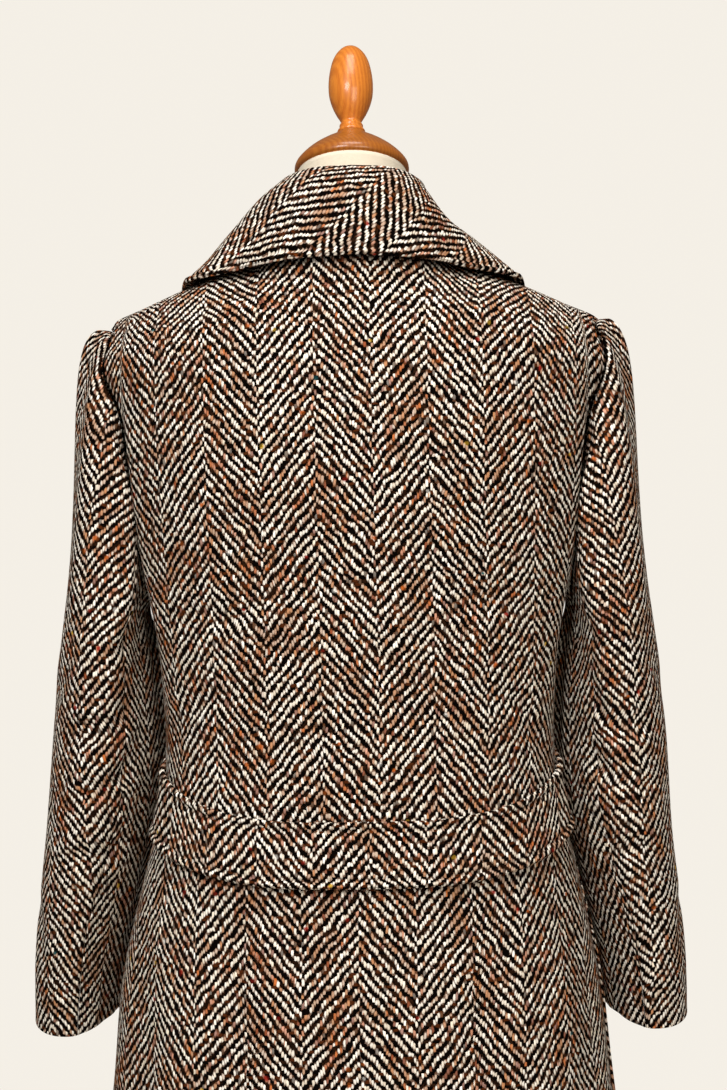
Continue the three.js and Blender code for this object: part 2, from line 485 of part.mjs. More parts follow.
// ---------------------------------------------------------------- buttons on the right front
for (let k = 0; k < BUTTON.count; k++) {
  const z = BUTTON.top - k * BUTTON.step;
  const at = frontPoint(0, z, true, 0.35);
  const r = BUTTON.radius, t = BUTTON.thick, s = BUTTON.stand;
  const profile = [[0, 0], [4, 0], [4, s], [r - 2, s], [r, s + 1.4], [r, s + t - 1], [r - 1.6, s + t], [r - 4.5, s + t - 1.3], [0, s + t - 1.3]];
  const g = new THREE.LatheGeometry(profile.map(([x, y]) => new THREE.Vector2(x, y)), 14);
  const m = add(`button_${k + 1}`, g, horn);
  m.position.set(0, at.p.y, at.p.z);
  m.rotation.set(Math.atan2(at.n.z, at.n.y), 0, 0);
}

// ---------------------------------------------------------------- the dress form and its stand
const form = new THREE.Group();
{
  const sides = 24, position = [], index = [], rows = TORSO.length;
  for (const r of TORSO)
    for (let k = 0; k < sides; k++) {
      const a = (k / sides) * 2 * Math.PI, s = Math.sin(a), c = Math.cos(a);
      const y = (c > 0 ? r.back : r.fore) * c;
      position.push(r.half * s, y, r.z + y * r.lean);
    }
  for (let i = 0; i < rows - 1; i++)
    for (let k = 0; k < sides; k++) {
      const a = i * sides + k, b = i * sides + ((k + 1) % sides), c = b + sides, d = a + sides;
      index.push(a, b, c, a, c, d);
    }
  position.push(0, 0, TORSO[0].z, 0, 0, TORSO[rows - 1].z);
  const low = rows * sides, high = low + 1;
  for (let k = 0; k < sides; k++) {
    index.push(low, (k + 1) % sides, k);
    index.push(high, (rows - 1) * sides + k, (rows - 1) * sides + ((k + 1) % sides));
  }
  add("form_torso", facingOut(position, index), linen, form);
}
function turned(name, profile, sides, material, tilted) {
  const g = new THREE.LatheGeometry(profile.map(([x, y]) => new THREE.Vector2(x, y)), sides);
  const m = add(name, g, material, form);
  m.rotation.set(Math.PI / 2 + (tilted ? CAP_TILT : 0), 0, 0);
  if (tilted) m.position.set(0, 0, TORSO[TORSO.length - 1].z + 0.35);
}
turned("form_neck_cap", CAP, 24, wood, true);
turned("form_finial", FINIAL, 20, wood, true);
turned("form_pole", POLE, 16, wood, false);
turned("form_base", BASE, 36, wood, false);

const part = new THREE.Group();
part.add(coat, form);
export default part;
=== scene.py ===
import math

import bpy
import numpy as np
from mathutils import Matrix, Vector


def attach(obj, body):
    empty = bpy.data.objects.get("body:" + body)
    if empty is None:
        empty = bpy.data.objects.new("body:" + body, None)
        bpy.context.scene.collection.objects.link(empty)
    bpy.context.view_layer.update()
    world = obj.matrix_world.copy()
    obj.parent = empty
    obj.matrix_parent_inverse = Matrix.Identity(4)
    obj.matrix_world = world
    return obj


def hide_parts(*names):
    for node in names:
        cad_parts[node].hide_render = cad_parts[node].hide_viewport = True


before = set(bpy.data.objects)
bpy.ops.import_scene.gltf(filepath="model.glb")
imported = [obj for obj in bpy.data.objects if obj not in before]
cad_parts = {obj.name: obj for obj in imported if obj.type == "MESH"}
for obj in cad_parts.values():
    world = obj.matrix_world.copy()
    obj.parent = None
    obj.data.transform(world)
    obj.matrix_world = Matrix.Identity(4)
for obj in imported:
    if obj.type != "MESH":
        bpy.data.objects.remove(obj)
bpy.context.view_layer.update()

scene = bpy.context.scene

# ================================================================ sizes of the coat and the form, in millimetres, as in the CAD part
CLOTH, BELT_THICK, COLLAR_THICK, LAPEL_THICK, SEAM = 2.6, 4.2, 3.4, 3.2, 0.3
HEM, NAPE, UNDERARM = 380.0, 1420.0, 1105.0
NECK_X, NECK_Y, NECK_Z = 72.0, 8.0, 1402.0
SHOULDER_X, SHOULDER_Y, SHOULDER_Z = 218.0, -4.0, 1344.0
NECK_SHARE, NECK_BACK_Y, NECK_FRONT_Y, NECK_FRONT_Z = 0.25, 72.0, -62.0, 1340.0
ARMHOLE_BACK, ARMHOLE_FRONT = 0.195, 0.25
OVERLAP, BREAK_LEVEL, UNDER_STEP = 30.0, 1165.0, 3.8

# level, side, front, half, back, fore, sideY, square
BODY = np.array([
    (380, 380, 380, 248, 178, 176, 0, 2.15),
    (520, 520, 520, 235, 169, 168, 0, 2.15),
    (678, 678, 678, 217, 157, 158, 0, 2.2),
    (778, 778, 778, 206, 148, 150, 0, 2.2),
    (864, 864, 864, 188, 136, 138, 0, 2.2),
    (925, 925, 925, 174, 125, 129, 0, 2.2),
    (985, 985, 985, 168.5, 118, 125, 0, 2.2),
    (1045, 1045, 1045, 176, 116, 131, 0, 2.2),
    (1105, 1105, 1105, 187, 118, 138, -2, 2.2),
    (1180, 1176, 1172, 200, 121, 138, -3, 2.25),
    (1265, 1254, 1240, 213, 117, 124, -4, 2.3),
    (1350, 1312, 1296, 219, 99, 100, -4, 2.3),
], float)
ROUNDING = [(1385, 0.46, 0.67), (1406, 0.78, 0.905)]  # level, across, up
# z, outer, inner, y, half, pitch
SLEEVE = np.array([
    (738, 290, 219, -33, 55, 7),
    (790, 286.5, 212, -26, 57, 7),
    (841, 282, 200, -19, 59, 6),
    (928, 272.5, 180, -10, 61, 4),
    (1015, 263, 176.5, -6, 62, 1),
    (1072, 257.5, 182, -6, 63, 0),
], float)
ELBOW_SEAM = np.array([(700, 113), (775, 109), (830, 106), (870, 116), (945, 127), (1120, 122), (1400, 104)], float)
FRONT_SEAM_ANGLE, GAP_ANGLE = -128.0, 0.28
BELT = np.array([(0, 929, 877), (0.25, 930, 878), (0.45, 936, 884), (0.65, 948, 895), (0.82, 962, 907), (0.955, 975, 918)], float)
BELT_REACH = 0.955
WAIST_SEAM = np.array([(0, 903), (0.45, 910), (1, 946)], float)
# along, seam x y z, roll x y z, drop, edge x z out front
COLLAR = np.array([
    (0.0, 0, 73, 1423, 0, 66, 1463, 0.03, 0, 1383, 7, 0),
    (0.16, 32, 68, 1421, 31, 58, 1463, 0, 54, 1378.5, 7, 0),
    (0.3, 58, 50, 1417, 51, 39, 1461, -0.12, 98, 1372, 5, 0),
    (0.43, 71, 28, 1411, 58, 15, 1457, -0.22, 131, 1368, 5.5, 0),
    (0.55, 73, 4, 1406, 60, -8, 1449, -0.2, 151, 1367, 8, 0),
    (0.67, 69.5, -12, 1388, 59, -32, 1428, -0.08, 155, 1352, 9, 1),
    (0.79, 63, -36, 1369.5, 55.5, -55, 1400, -0.1, 157, 1328, 5, 1),
    (0.9, 54.5, -60, 1347.5, 50.5, -75, 1366, -0.16, 156, 1305, 4, 1),
    (1.0, 46, -82.5, 1328.5, 44.5, -90, 1336, -0.2, 150, 1284, 4, 1),
], float)
STAND_SHARE = 0.3
LAPEL_FOOT, LAPEL_BOW, LAPEL_POINT, GORGE_END, NOTCH = (-28, 1162), (92, 1192), (154, 1258), (104, 1300), 0.56
ROLL_TOP = (45, 1324)
BUTTON_COUNT, BUTTON_TOP, BUTTON_STEP, BUTTON_RADIUS, BUTTON_THICK, BUTTON_STAND = 4, 1146, 128, 14, 4.5, 2
# z, half, back, fore, lean
TORSO = np.array([
    (770, 150, 100, 94, 0), (780, 166, 112, 104, 0), (810, 172, 117, 108, 0), (864, 166, 111, 108, 0),
    (925, 147, 98, 104, 0), (985, 133, 90, 99, 0), (1045, 142, 93, 111, 0), (1105, 156, 99, 124, 0),
    (1160, 163, 102, 127, 0), (1220, 167, 101, 111, 0), (1270, 174, 94, 93, 0), (1310, 180, 82, 79, 0),
    (1326, 178, 66, 54, 0), (1342, 144, 56, 44, 0), (1357, 100, 53, 36, 0), (1373, 70, 52, 33, 0),
    (1394, 57, 51, 40, 0.04), (1428, 51, 51, 47, 0.12), (1472, 47.5, 47.5, 47.5, 0.23),
], float)
CAP_TILT = 0.2267
CAP = [(0, 0), (47.6, 0), (49.2, 1.5), (49.6, 6), (48.6, 8.4), (46, 11.8), (41.5, 16.6), (35, 22.2), (27.5, 27.6), (20, 32.4),
       (14.5, 36.4), (12.6, 38.3), (0, 38.3)]
FINIAL = [(0, 38.6), (11.8, 38.6), (12.2, 40.2), (10.2, 43.4), (10.3, 46), (8.7, 48.4), (10, 51.6), (12.8, 56.5), (16.6, 65), (19, 74),
          (19.6, 82), (19.2, 91), (17.8, 100), (15.4, 108.5), (11.4, 115.5), (6.4, 120.2), (0, 122)]
POLE = [(0, 44.3), (17, 44.3), (17, 740), (23, 744), (23, 769.7), (0, 769.7)]
BASE = [(0, 0), (192, 0), (195, 4), (195, 16), (188, 22), (120, 28), (60, 34), (36, 38), (30, 44), (0, 44)]

# the weave: distance between warp ends and between picks, in metres, and how many ends a column of the herringbone has
END, PICK, COLUMN = 0.0020, 0.0024, 23

# ================================================================ small maths
def mix(a, b, t):
    return a + (b - a) * t


def smooth(a, b, x):
    t = np.clip((x - a) / (b - a), 0, 1)
    return t * t * (3 - 2 * t)


def unit(v):
    return v / np.maximum(np.linalg.norm(v, axis=-1, keepdims=True), 1e-9)


def through(knots, values, x):
    """A smooth curve through values at knots. values is (knots,), or (knots, points, 3) with its own values for each x."""
    knots, values, x = np.asarray(knots, float), np.asarray(values, float), np.asarray(x, float)
    shape = x.shape
    x = np.clip(x.ravel(), knots[0], knots[-1])
    k = np.clip(np.searchsorted(knots, x, side="left") - 1, 0, len(knots) - 2)
    wide = (-1,) + (1,) * (values.ndim - 1)
    step = np.diff(knots)
    d = np.diff(values, axis=0) / step.reshape(wide)
    slope = np.empty_like(values)
    slope[0], slope[-1] = d[0], d[-1]
    a, b = step[:-1].reshape(wide), step[1:].reshape(wide)
    slope[1:-1] = (d[:-1] * b + d[1:] * a) / (a + b)
    h = step[k]
    t = (x - knots[k]) / h
    if values.ndim == 1:
        v0, v1, m0, m1 = values[k], values[k + 1], slope[k] * h, slope[k + 1] * h
    else:
        i = np.arange(len(x))
        v0, v1, m0, m1 = values[k, i], values[k + 1, i], slope[k, i] * h[:, None], slope[k + 1, i] * h[:, None]
        t = t[:, None]
    t2, t3 = t * t, t * t * t
    out = v0 * (2 * t3 - 3 * t2 + 1) + m0 * (t3 - 2 * t2 + t) + v1 * (3 * t2 - 2 * t3) + m1 * (t3 - t2)
    return out.reshape(shape + out.shape[1:])


# ================================================================ the coat's body as one surface
def section(row, g, front):
    level, side, fr, half, back, fore, side_y, square = row
    s, c, e = np.sin(g * np.pi / 2), np.maximum(0, np.cos(g * np.pi / 2)), 2 / square
    middle, depth = (fr, -fore) if front else (level, back)
    return np.stack([half * np.sign(s) * np.abs(s) ** e, side_y + (depth - side_y) * c ** e, middle + (side - middle) * s * s], -1)


def shoulder_row(g, front):
    a, sign = np.abs(g), np.where(g < 0, -1.0, 1.0)
    q = np.clip(a / NECK_SHARE, 0, 1) * np.pi / 2
    s, c = np.sin(q), np.cos(q)
    z = mix(NECK_FRONT_Z, NECK_Z, 1 - c) if front else mix(NECK_Z, NAPE, c)
    neck = np.stack([sign * NECK_X * s, NECK_Y + ((NECK_FRONT_Y if front else NECK_BACK_Y) - NECK_Y) * c, z], -1)
    t = (a - NECK_SHARE) / (1 - NECK_SHARE)
    out = np.stack([sign * mix(NECK_X, SHOULDER_X, t), mix(NECK_Y, SHOULDER_Y, t), mix(NECK_Z, SHOULDER_Z, t)], -1)
    return np.where((a <= NECK_SHARE)[:, None], neck, out)


def rounded_row(across, up, g, front):
    a, b = section(BODY[-1], g, front), shoulder_row(g, front)
    u = mix(mix(across, up, 0.35), up, smooth(NECK_SHARE * 0.4, NECK_SHARE * 1.5, np.abs(g)))
    return np.stack([mix(a[:, 0], b[:, 0], across), mix(a[:, 1], b[:, 1], across), mix(a[:, 2], b[:, 2], u)], -1)


LEVELS = [r[0] for r in BODY] + [r[0] for r in ROUNDING] + [NAPE]


def slim(level):
    return 13 * np.exp(-(((level - 1090) / 62) ** 2))


def body(share, level, front):
    share, level = np.broadcast_arrays(np.asarray(share, float), np.asarray(level, float))
    if isinstance(front, np.ndarray):
        return np.where(np.broadcast_to(front, share.shape)[..., None], body(share, level, True), body(share, level, False))
    g = share.ravel()
    points = [section(r, g, front) for r in BODY] + [rounded_row(a, u, g, front) for _, a, u in ROUNDING] + [shoulder_row(g, front)]
    P, z = through(LEVELS, np.stack(points), level.ravel()), level.ravel()
    # the sides draw in below the armholes, and the skirt hangs a little slimmer on the right
    P[:, 0] -= np.sign(g) * slim(z) * smooth(0.70, 1, np.abs(g))
    P[:, 0] += 4.5 * smooth(0, 160, -P[:, 0]) * smooth(930, 760, z)
    return P.reshape(share.shape + (3,))


def plain_normal(share, level, front):
    d, h = 0.004, 1.5
    up = np.minimum(level + h, NAPE)
    down = np.maximum(up - 2 * h, HEM)
    across = body(share + d, level, front) - body(share - d, level, front)
    n = unit(np.cross(across, body(share, up, front) - body(share, down, front)))
    flip = np.where(front, 1.0, -1.0)
    return n * (flip[..., None] if np.ndim(flip) else flip)


def body_normal(share, level, front):
    share, level = np.broadcast_arrays(np.asarray(share, float), np.asarray(level, float))
    s = np.clip(share, -0.995, 0.995)
    n = plain_normal(s, level, front)
    other = plain_normal(s, level, ~front if isinstance(front, np.ndarray) else not front)
    w = smooth(NAPE - 14, NAPE - 2, level) * (np.abs(share) > NECK_SHARE * 1.02)
    return unit(n + other * w[..., None])


def share_at(x, level, front, steps=26):
    x, level = np.broadcast_arrays(np.asarray(x, float), np.asarray(level, float))
    lo, hi = np.full(x.shape, -0.9), np.full(x.shape, 1.0)
    for _ in range(steps):
        m = (lo + hi) / 2
        less = body(m, level, front)[..., 0] < x
        lo, hi = np.where(less, m, lo), np.where(less, hi, m)
    return (lo + hi) / 2


def spot(x, z, front):
    """The share and level of the place on the body at an x and a height."""
    x, z = np.broadcast_arrays(np.asarray(x, float), np.asarray(z, float))
    level = z.astype(float).copy()
    for _ in range(14):
        share = share_at(x, level, front, 18)
        level = np.clip(level + 1.05 * (z - body(share, level, front)[..., 2]), HEM, NAPE)
    return share_at(x, level, front), level


def trough(level):
    """How far the cloth sinks at the armhole seam, under the fullness of the sleeve."""
    return 6.5 * smooth(1070, 1140, level) * smooth(1345, 1250, level)


def armhole_depth(c, front):
    base = np.sqrt(np.maximum(0, 1 - c * c))
    inset = np.where(front, 0.022 * smooth(0.55, 0.95, c), 0.022 * smooth(-0.5, 0.3, c))
    return np.where(front, ARMHOLE_FRONT, ARMHOLE_BACK) * base ** np.where(c > 0, 2.1, 1.15) + inset


def edge_share(level, front):
    c = np.clip(2 * (level - UNDERARM) / (NAPE - UNDERARM) - 1, -1, 1)
    return np.where(level <= UNDERARM, 1.0, 1 - armhole_depth(c, front))


def waist(w):
    return through(WAIST_SEAM[:, 0], WAIST_SEAM[:, 1], np.abs(w))


# ================================================================ soft folds, as troughs with low ridges beside them
def fold_field(a, b, folds, wrap=None):
    """a and b are places on the surface in millimetres. Each fold is (a0, b0, a1, b1, width, depth); its ends fade out."""
    total = np.zeros(a.shape)
    for a0, b0, a1, b1, width, depth in folds:
        da, db = a - a0, b - b0
        if wrap:
            da = (da + wrap / 2) % wrap - wrap / 2
        la, lb = a1 - a0, b1 - b0
        length = math.hypot(la, lb)
        t = (da * la + db * lb) / length ** 2
        side = (da * -lb + db * la) / length
        side = side + 0.06 * length * np.sin(2.2 * np.pi * t + 0.01 * (a0 + b0))
        fade = smooth(-0.15, 0.3, t) * smooth(1.15, 0.6, t)
        q = side / (width * (0.75 + 0.35 * np.clip(t, 0, 1)))
        total += fade * depth * (-np.exp(-q * q) + 0.42 * np.exp(-((q - 1.75) / 0.95) ** 2) + 0.42 * np.exp(-((q + 1.75) / 0.95) ** 2))
    return total


AROUND = 190.0  # millimetres to a radian round the body
BODY_FOLDS = [
    # across the back from the armholes, and down from the belt into the skirt
    (-150, 1150, -60, 1235, 13, 2.2), (152, 1142, 70, 1222, 13, 2.0), (-205, 1085, -110, 1120, 12, 2.0), (208, 1080, 118, 1108, 12, 2.0),
    (-235, 985, -150, 1040, 14, 2.2), (238, 990, 150, 1050, 14, 2.0),
    (-120, 860, -150, 640, 22, 3.0), (118, 865, 140, 660, 22, 2.8), (-215, 850, -250, 560, 26, 3.6), (218, 850, 246, 575, 26, 3.4),
    (-30, 850, -45, 700, 20, 1.6), (45, 850, 60, 690, 20, 1.5),
    # at the front, hidden in the photograph
    (-400, 980, -460, 860, 18, 2.2), (402, 985, 458, 850, 18, 2.2), (-340, 860, -370, 600, 26, 3.2), (342, 850, 365, 590, 26, 3.2),
    (-470, 1120, -420, 1200, 14, 1.6), (470, 1125, 424, 1204, 14, 1.6),
]


def body_relief(p):
    """How far the cloth of the body moves out at a place on it."""
    a = np.arctan2(p[..., 0], p[..., 1]) * AROUND
    b = p[..., 2]
    soft = 0.9 * np.sin(a / 47 + b / 160 + 0.6) * np.sin(b / 83 + 1.1) + 0.7 * np.sin(a / 71 - b / 120) * np.sin(b / 57 + a / 210)
    high = smooth(1290, 1225, b)
    flare = smooth(820, 480, b) * 5.0 * (np.cos(a / 32.0 + 0.5 * np.sin(b / 190)) * 0.6 + 0.4 * np.cos(a / 53.0 + 1.2))
    return (fold_field(a, b, BODY_FOLDS, 2 * np.pi * AROUND) + soft) * high + flare * smooth(1.0, 0.0, np.abs(np.abs(a) - np.pi * AROUND) / 1.0 - 40)


# ================================================================ meshes
ROOT = "root"
pieces = {}


def add_mesh(name, verts, quads, uvs=None, tris=None):
    mesh = bpy.data.meshes.new(name)
    verts = np.asarray(verts, float).reshape(-1, 3) * 0.001
    quads = np.asarray(quads, int).reshape(-1, 4)
    mesh.vertices.add(len(verts))
    mesh.vertices.foreach_set("co", verts.ravel().astype(np.float32))
    mesh.loops.add(quads.size)
    mesh.loops.foreach_set("vertex_index", quads.ravel().astype(np.int32))
    mesh.polygons.add(len(quads))
    mesh.polygons.foreach_set("loop_start", np.arange(0, quads.size, 4, dtype=np.int32))
    mesh.polygons.foreach_set("use_smooth", np.ones(len(quads), bool))
    mesh.update(calc_edges=True)
    if uvs is not None:
        layer = mesh.uv_layers.new(name="weave")
        layer.data.foreach_set("uv", np.asarray(uvs, np.float32).ravel())
    mesh.validate()
    mesh.update()
    o = bpy.data.objects.new(name, mesh)
    scene.collection.objects.link(o)
    return o


RIM = 6


def shell(name, P, N, UV, thick, nodes, material, mirror=False):
    """A cloth wall from a grid of points P, directions N and cloth coordinates UV in metres, with a half round rim all round."""
    P, N, UV = P.copy(), unit(N), UV.copy()
    R, C = P.shape[:2]
    r = thick / 2
    ring = [(0, j) for j in range(C)] + [(i, C - 1) for i in range(1, R)] + [(R - 1, j) for j in range(C - 2, -1, -1)] + [(i, 0) for i in range(R - 2, 0, -1)]
    ring = np.array(ring)
    inward = np.stack([np.clip(ring[:, 0], 1, R - 2), np.clip(ring[:, 1], 1, C - 2)], -1)
    p, q, n = P[ring[:, 0], ring[:, 1]], P[inward[:, 0], inward[:, 1]], N[ring[:, 0], ring[:, 1]]
    tangent = unit(np.roll(p, -1, 0) - np.roll(p, 1, 0))
    out = unit(np.cross(tangent, n))
    out *= np.sign(np.sum(out * (p - q), -1))[:, None]
    uv, uq = UV[ring[:, 0], ring[:, 1]], UV[inward[:, 0], inward[:, 1]]
    gap = np.linalg.norm(p - q, axis=-1)[:, None]
    slope = (uv - uq) / gap
    p = p - out * r
    uv = uv - slope * r
    P[ring[:, 0], ring[:, 1]], UV[ring[:, 0], ring[:, 1]] = p, uv
    index = np.arange(R * C).reshape(R, C)
    inner = index + R * C
    verts = [P.reshape(-1, 3), (P - N * thick).reshape(-1, 3)]
    loops = [index[ring[:, 0], ring[:, 1]]]
    ringuv = [uv]
    base = 2 * R * C
    for k in range(1, RIM):
        a = math.pi * k / RIM
        verts.append(p - n * r + r * (math.cos(a) * n + math.sin(a) * out))
        loops.append(base + np.arange(len(ring)))
        base += len(ring)
        ringuv.append(uv + slope * r * a)
    loops.append(inner[ring[:, 0], ring[:, 1]])
    ringuv.append(uv + slope * r * math.pi)
    quads, uvs = [], []
    f = lambda g: np.stack([g[:-1, :-1], g[:-1, 1:], g[1:, 1:], g[1:, :-1]], 2)
    quads.append(f(index).reshape(-1, 4))
    uvs.append(np.stack([UV[:-1, :-1], UV[:-1, 1:], UV[1:, 1:], UV[1:, :-1]], 2).reshape(-1, 4, 2))
    quads.append(f(inner).reshape(-1, 4)[:, ::-1])
    uvs.append(uvs[0][:, ::-1])
    for k in range(RIM):
        a, b = loops[k], loops[k + 1]
        quads.append(np.stack([a, b, np.roll(b, -1), np.roll(a, -1)], -1))
        ua, ub = ringuv[k], ringuv[k + 1]
        uvs.append(np.stack([ua, ub, np.roll(ub, -1, 0), np.roll(ua, -1, 0)], 1))
    quads, uvs, verts = np.concatenate(quads), np.concatenate(uvs), np.concatenate(verts)
    a, b, c, d = (verts[quads[:, i]] for i in range(4))
    volume = np.sum(a * (np.cross(b, c) + np.cross(c, d)))
    if volume < 0:
        quads, uvs = quads[:, ::-1], uvs[:, ::-1]
    if mirror:
        verts = verts * np.array([-1, 1, 1])
        quads, uvs = quads[:, ::-1], uvs[:, ::-1] * np.array([-1, 1])
    o = add_mesh(name, verts, quads, uvs)
    o.data.materials.append(material)
    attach(o, ROOT)
    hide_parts(*nodes)
    return o


def arcs(P, axis):
    """Running length along a grid's rows (axis 1) or columns (axis 0), in metres."""
    d = np.linalg.norm(np.diff(P, axis=axis), axis=-1)
    z = np.zeros_like(np.take(d, [0], axis=axis))
    return np.concatenate([z, np.cumsum(d, axis=axis)], axis=axis) * 0.001


def grid_normal(P):
    di, dj = np.gradient(P, axis=0), np.gradient(P, axis=1)
    return unit(np.cross(dj, di))


def flatten(P, UV, fixed, steps=16):
    """Lays a grid of points (millimetres) flat in metres with as little stretch as there can be. `fixed` marks the places that stay."""
    R, C = P.shape[:2]
    X, U = P.reshape(-1, 3) * 0.001, UV.reshape(-1, 2).copy()
    g = np.arange(R * C).reshape(R, C)
    a, b, c, d = g[:-1, :-1].ravel(), g[:-1, 1:].ravel(), g[1:, 1:].ravel(), g[1:, :-1].ravel()
    T = np.concatenate([np.stack(k, -1) for k in ((a, b, c), (a, c, d), (a, b, d), (b, c, d))])
    e1, e2 = X[T[:, 1]] - X[T[:, 0]], X[T[:, 2]] - X[T[:, 0]]
    l = np.linalg.norm(e1, axis=-1)
    x2 = np.sum(e1 * e2, -1) / l
    y2 = np.sqrt(np.maximum(np.sum(e2 * e2, -1) - x2 ** 2, 1e-12))
    f1, f2 = U[T[:, 1]] - U[T[:, 0]], U[T[:, 2]] - U[T[:, 0]]
    y2 = y2 * np.sign(np.median(f1[:, 0] * f2[:, 1] - f1[:, 1] * f2[:, 0]))
    Q = np.stack([np.zeros((len(T), 2)), np.stack([l, 0 * l], -1), np.stack([x2, y2], -1)], 1)
    L = np.zeros((R * C, R * C))
    edges = []
    for k in range(3):
        i, j = (k + 1) % 3, (k + 2) % 3
        p, q = Q[:, i] - Q[:, k], Q[:, j] - Q[:, k]
        w = np.clip(0.5 * np.sum(p * q, -1) / np.maximum(np.abs(p[:, 0] * q[:, 1] - p[:, 1] * q[:, 0]), 1e-12), 0.02, 8)
        ti, tj = T[:, i], T[:, j]
        for r, col, sgn in ((ti, ti, 1), (tj, tj, 1), (ti, tj, -1), (tj, ti, -1)):
            np.add.at(L, (r, col), sgn * w)
        edges.append((ti, tj, w, Q[:, i] - Q[:, j]))
    hold = fixed.ravel()
    free = ~hold
    inverse = np.linalg.inv(L[np.ix_(free, free)])
    pull = L[np.ix_(free, hold)] @ U[hold]
    for _ in range(steps):
        S = sum(w[:, None, None] * (U[i] - U[j])[:, :, None] * q[:, None, :] for i, j, w, q in edges)
        turn = np.arctan2(S[:, 1, 0] - S[:, 0, 1], S[:, 0, 0] + S[:, 1, 1])
        co, si = np.cos(turn), np.sin(turn)
        B = np.zeros_like(U)
        for i, j, w, q in edges:
            r = np.stack([co * q[:, 0] - si * q[:, 1], si * q[:, 0] + co * q[:, 1]], -1) * w[:, None]
            np.add.at(B, i, r)
            np.add.at(B, j, -r)
        U[free] = inverse @ (B[free] - pull)
    return U.reshape(R, C, 2)


def finer(values, rows, cols, R, C):
    """From the values at some rows and columns of a grid to all of them, on smooth curves."""
    half = np.stack([np.stack([through(rows, values[:, j, k], np.arange(R)) for k in range(values.shape[2])], -1) for j in range(len(cols))], 1)
    return np.stack([np.stack([through(cols, half[i, :, k], np.arange(C)) for k in range(values.shape[2])], -1) for i in range(R)])


# ================================================================ materials
class Nodes:
    """Small arithmetic with shader sockets."""

    def __init__(self, name):
        self.material = bpy.data.materials.new(name)
        self.material.use_nodes = True
        self.tree = self.material.node_tree
        self.bsdf = self.tree.nodes["Principled BSDF"]

    def put(self, socket, value):
        if isinstance(value, bpy.types.NodeSocket):
            self.tree.links.new(value, socket)
        else:
            socket.default_value = value

    def math(self, op, *args, clamp=False):
        n = self.tree.nodes.new("ShaderNodeMath")
        n.operation, n.use_clamp = op, clamp
        for k, v in enumerate(args):
            self.put(n.inputs[k], v)
        return n.outputs[0]

    def add(self, a, b): return self.math("ADD", a, b)
    def sub(self, a, b): return self.math("SUBTRACT", a, b)
    def mul(self, a, b): return self.math("MULTIPLY", a, b)
    def div(self, a, b): return self.math("DIVIDE", a, b)
    def floor(self, a): return self.math("FLOOR", a)
    def less(self, a, b): return self.math("LESS_THAN", a, b)
    def more(self, a, b): return self.math("GREATER_THAN", a, b)
    def flmod(self, a, b): return self.math("FLOORED_MODULO", a, b)
    def power(self, a, b): return self.math("POWER", a, b)
    def absol(self, a): return self.math("ABSOLUTE", a)

    def xyz(self, x, y, z=0.0):
        n = self.tree.nodes.new("ShaderNodeCombineXYZ")
        for k, v in enumerate((x, y, z)):
            self.put(n.inputs[k], v)
        return n.outputs[0]

    def split(self, v):
        n = self.tree.nodes.new("ShaderNodeSeparateXYZ")
        self.put(n.inputs[0], v)
        return n.outputs

    def uv(self, name="weave"):
        n = self.tree.nodes.new("ShaderNodeUVMap")
        n.uv_map = name
        return n.outputs[0]

    def object_coords(self):
        return self.tree.nodes.new("ShaderNodeTexCoord").outputs["Object"]

    def noise(self, v, scale, detail=2.0, rough=0.5, distortion=0.0):
        n = self.tree.nodes.new("ShaderNodeTexNoise")
        self.put(n.inputs["Vector"], v)
        n.inputs["Scale"].default_value = scale
        n.inputs["Detail"].default_value = detail
        n.inputs["Roughness"].default_value = rough
        n.inputs["Distortion"].default_value = distortion
        return n.outputs["Fac"]

    def white(self, v):
        n = self.tree.nodes.new("ShaderNodeTexWhiteNoise")
        n.noise_dimensions = "3D"
        self.put(n.inputs["Vector"], v)
        return n.outputs["Value"], n.outputs["Color"]

    def step(self, a, lo, hi):
        n = self.tree.nodes.new("ShaderNodeMapRange")
        n.interpolation_type = "SMOOTHSTEP"
        self.put(n.inputs["Value"], a)
        self.put(n.inputs["From Min"], lo)
        self.put(n.inputs["From Max"], hi)
        return n.outputs[0]

    def blend(self, f, a, b):
        n = self.tree.nodes.new("ShaderNodeMix")
        n.data_type = "RGBA"
        self.put(n.inputs[0], f)
        for k, v in ((6, a), (7, b)):
            self.put(n.inputs[k], (*v, 1.0) if isinstance(v, tuple) and len(v) == 3 else v)
        return n.outputs[2]

    def shade(self, colour, factor):
        n = self.tree.nodes.new("ShaderNodeMix")
        n.data_type, n.blend_type = "RGBA", "MULTIPLY"
        n.inputs[0].default_value = 1.0
        self.put(n.inputs[6], colour)
        c = self.tree.nodes.new("ShaderNodeCombineColor")
        for k in range(3):
            self.put(c.inputs[k], factor)
        self.put(n.inputs[7], c.outputs[0])
        return n.outputs[2]

    def bump(self, height, distance, strength=1.0, normal=None):
        n = self.tree.nodes.new("ShaderNodeBump")
        n.inputs["Strength"].default_value = strength
        n.inputs["Distance"].default_value = distance
        self.put(n.inputs["Height"], height)
        if normal is not None:
            self.put(n.inputs["Normal"], normal)
        return n.outputs[0]


CREAM, ECRU, TAN, ORANGE, RUST = (0.97, 0.92, 0.83), (0.76, 0.66, 0.52), (0.40, 0.165, 0.060), (0.48, 0.115, 0.020), (0.20, 0.030, 0.007)
BLACK, BROWN, RUST_BROWN, RIM_BROWN_AND_SHADE = (0.0036, 0.0024, 0.0019), (0.030, 0.012, 0.0055), (0.10, 0.026, 0.007), (0.28, 0.095, 0.030)
NUBS = ((0.10, (0.66, 0.40, 0.04)), (0.44, (0.50, 0.115, 0.018)), (0.72, (0.33, 0.018, 0.012)), (0.77, (0.015, 0.11, 0.12)), (1.01, (0.95, 0.91, 0.84)))


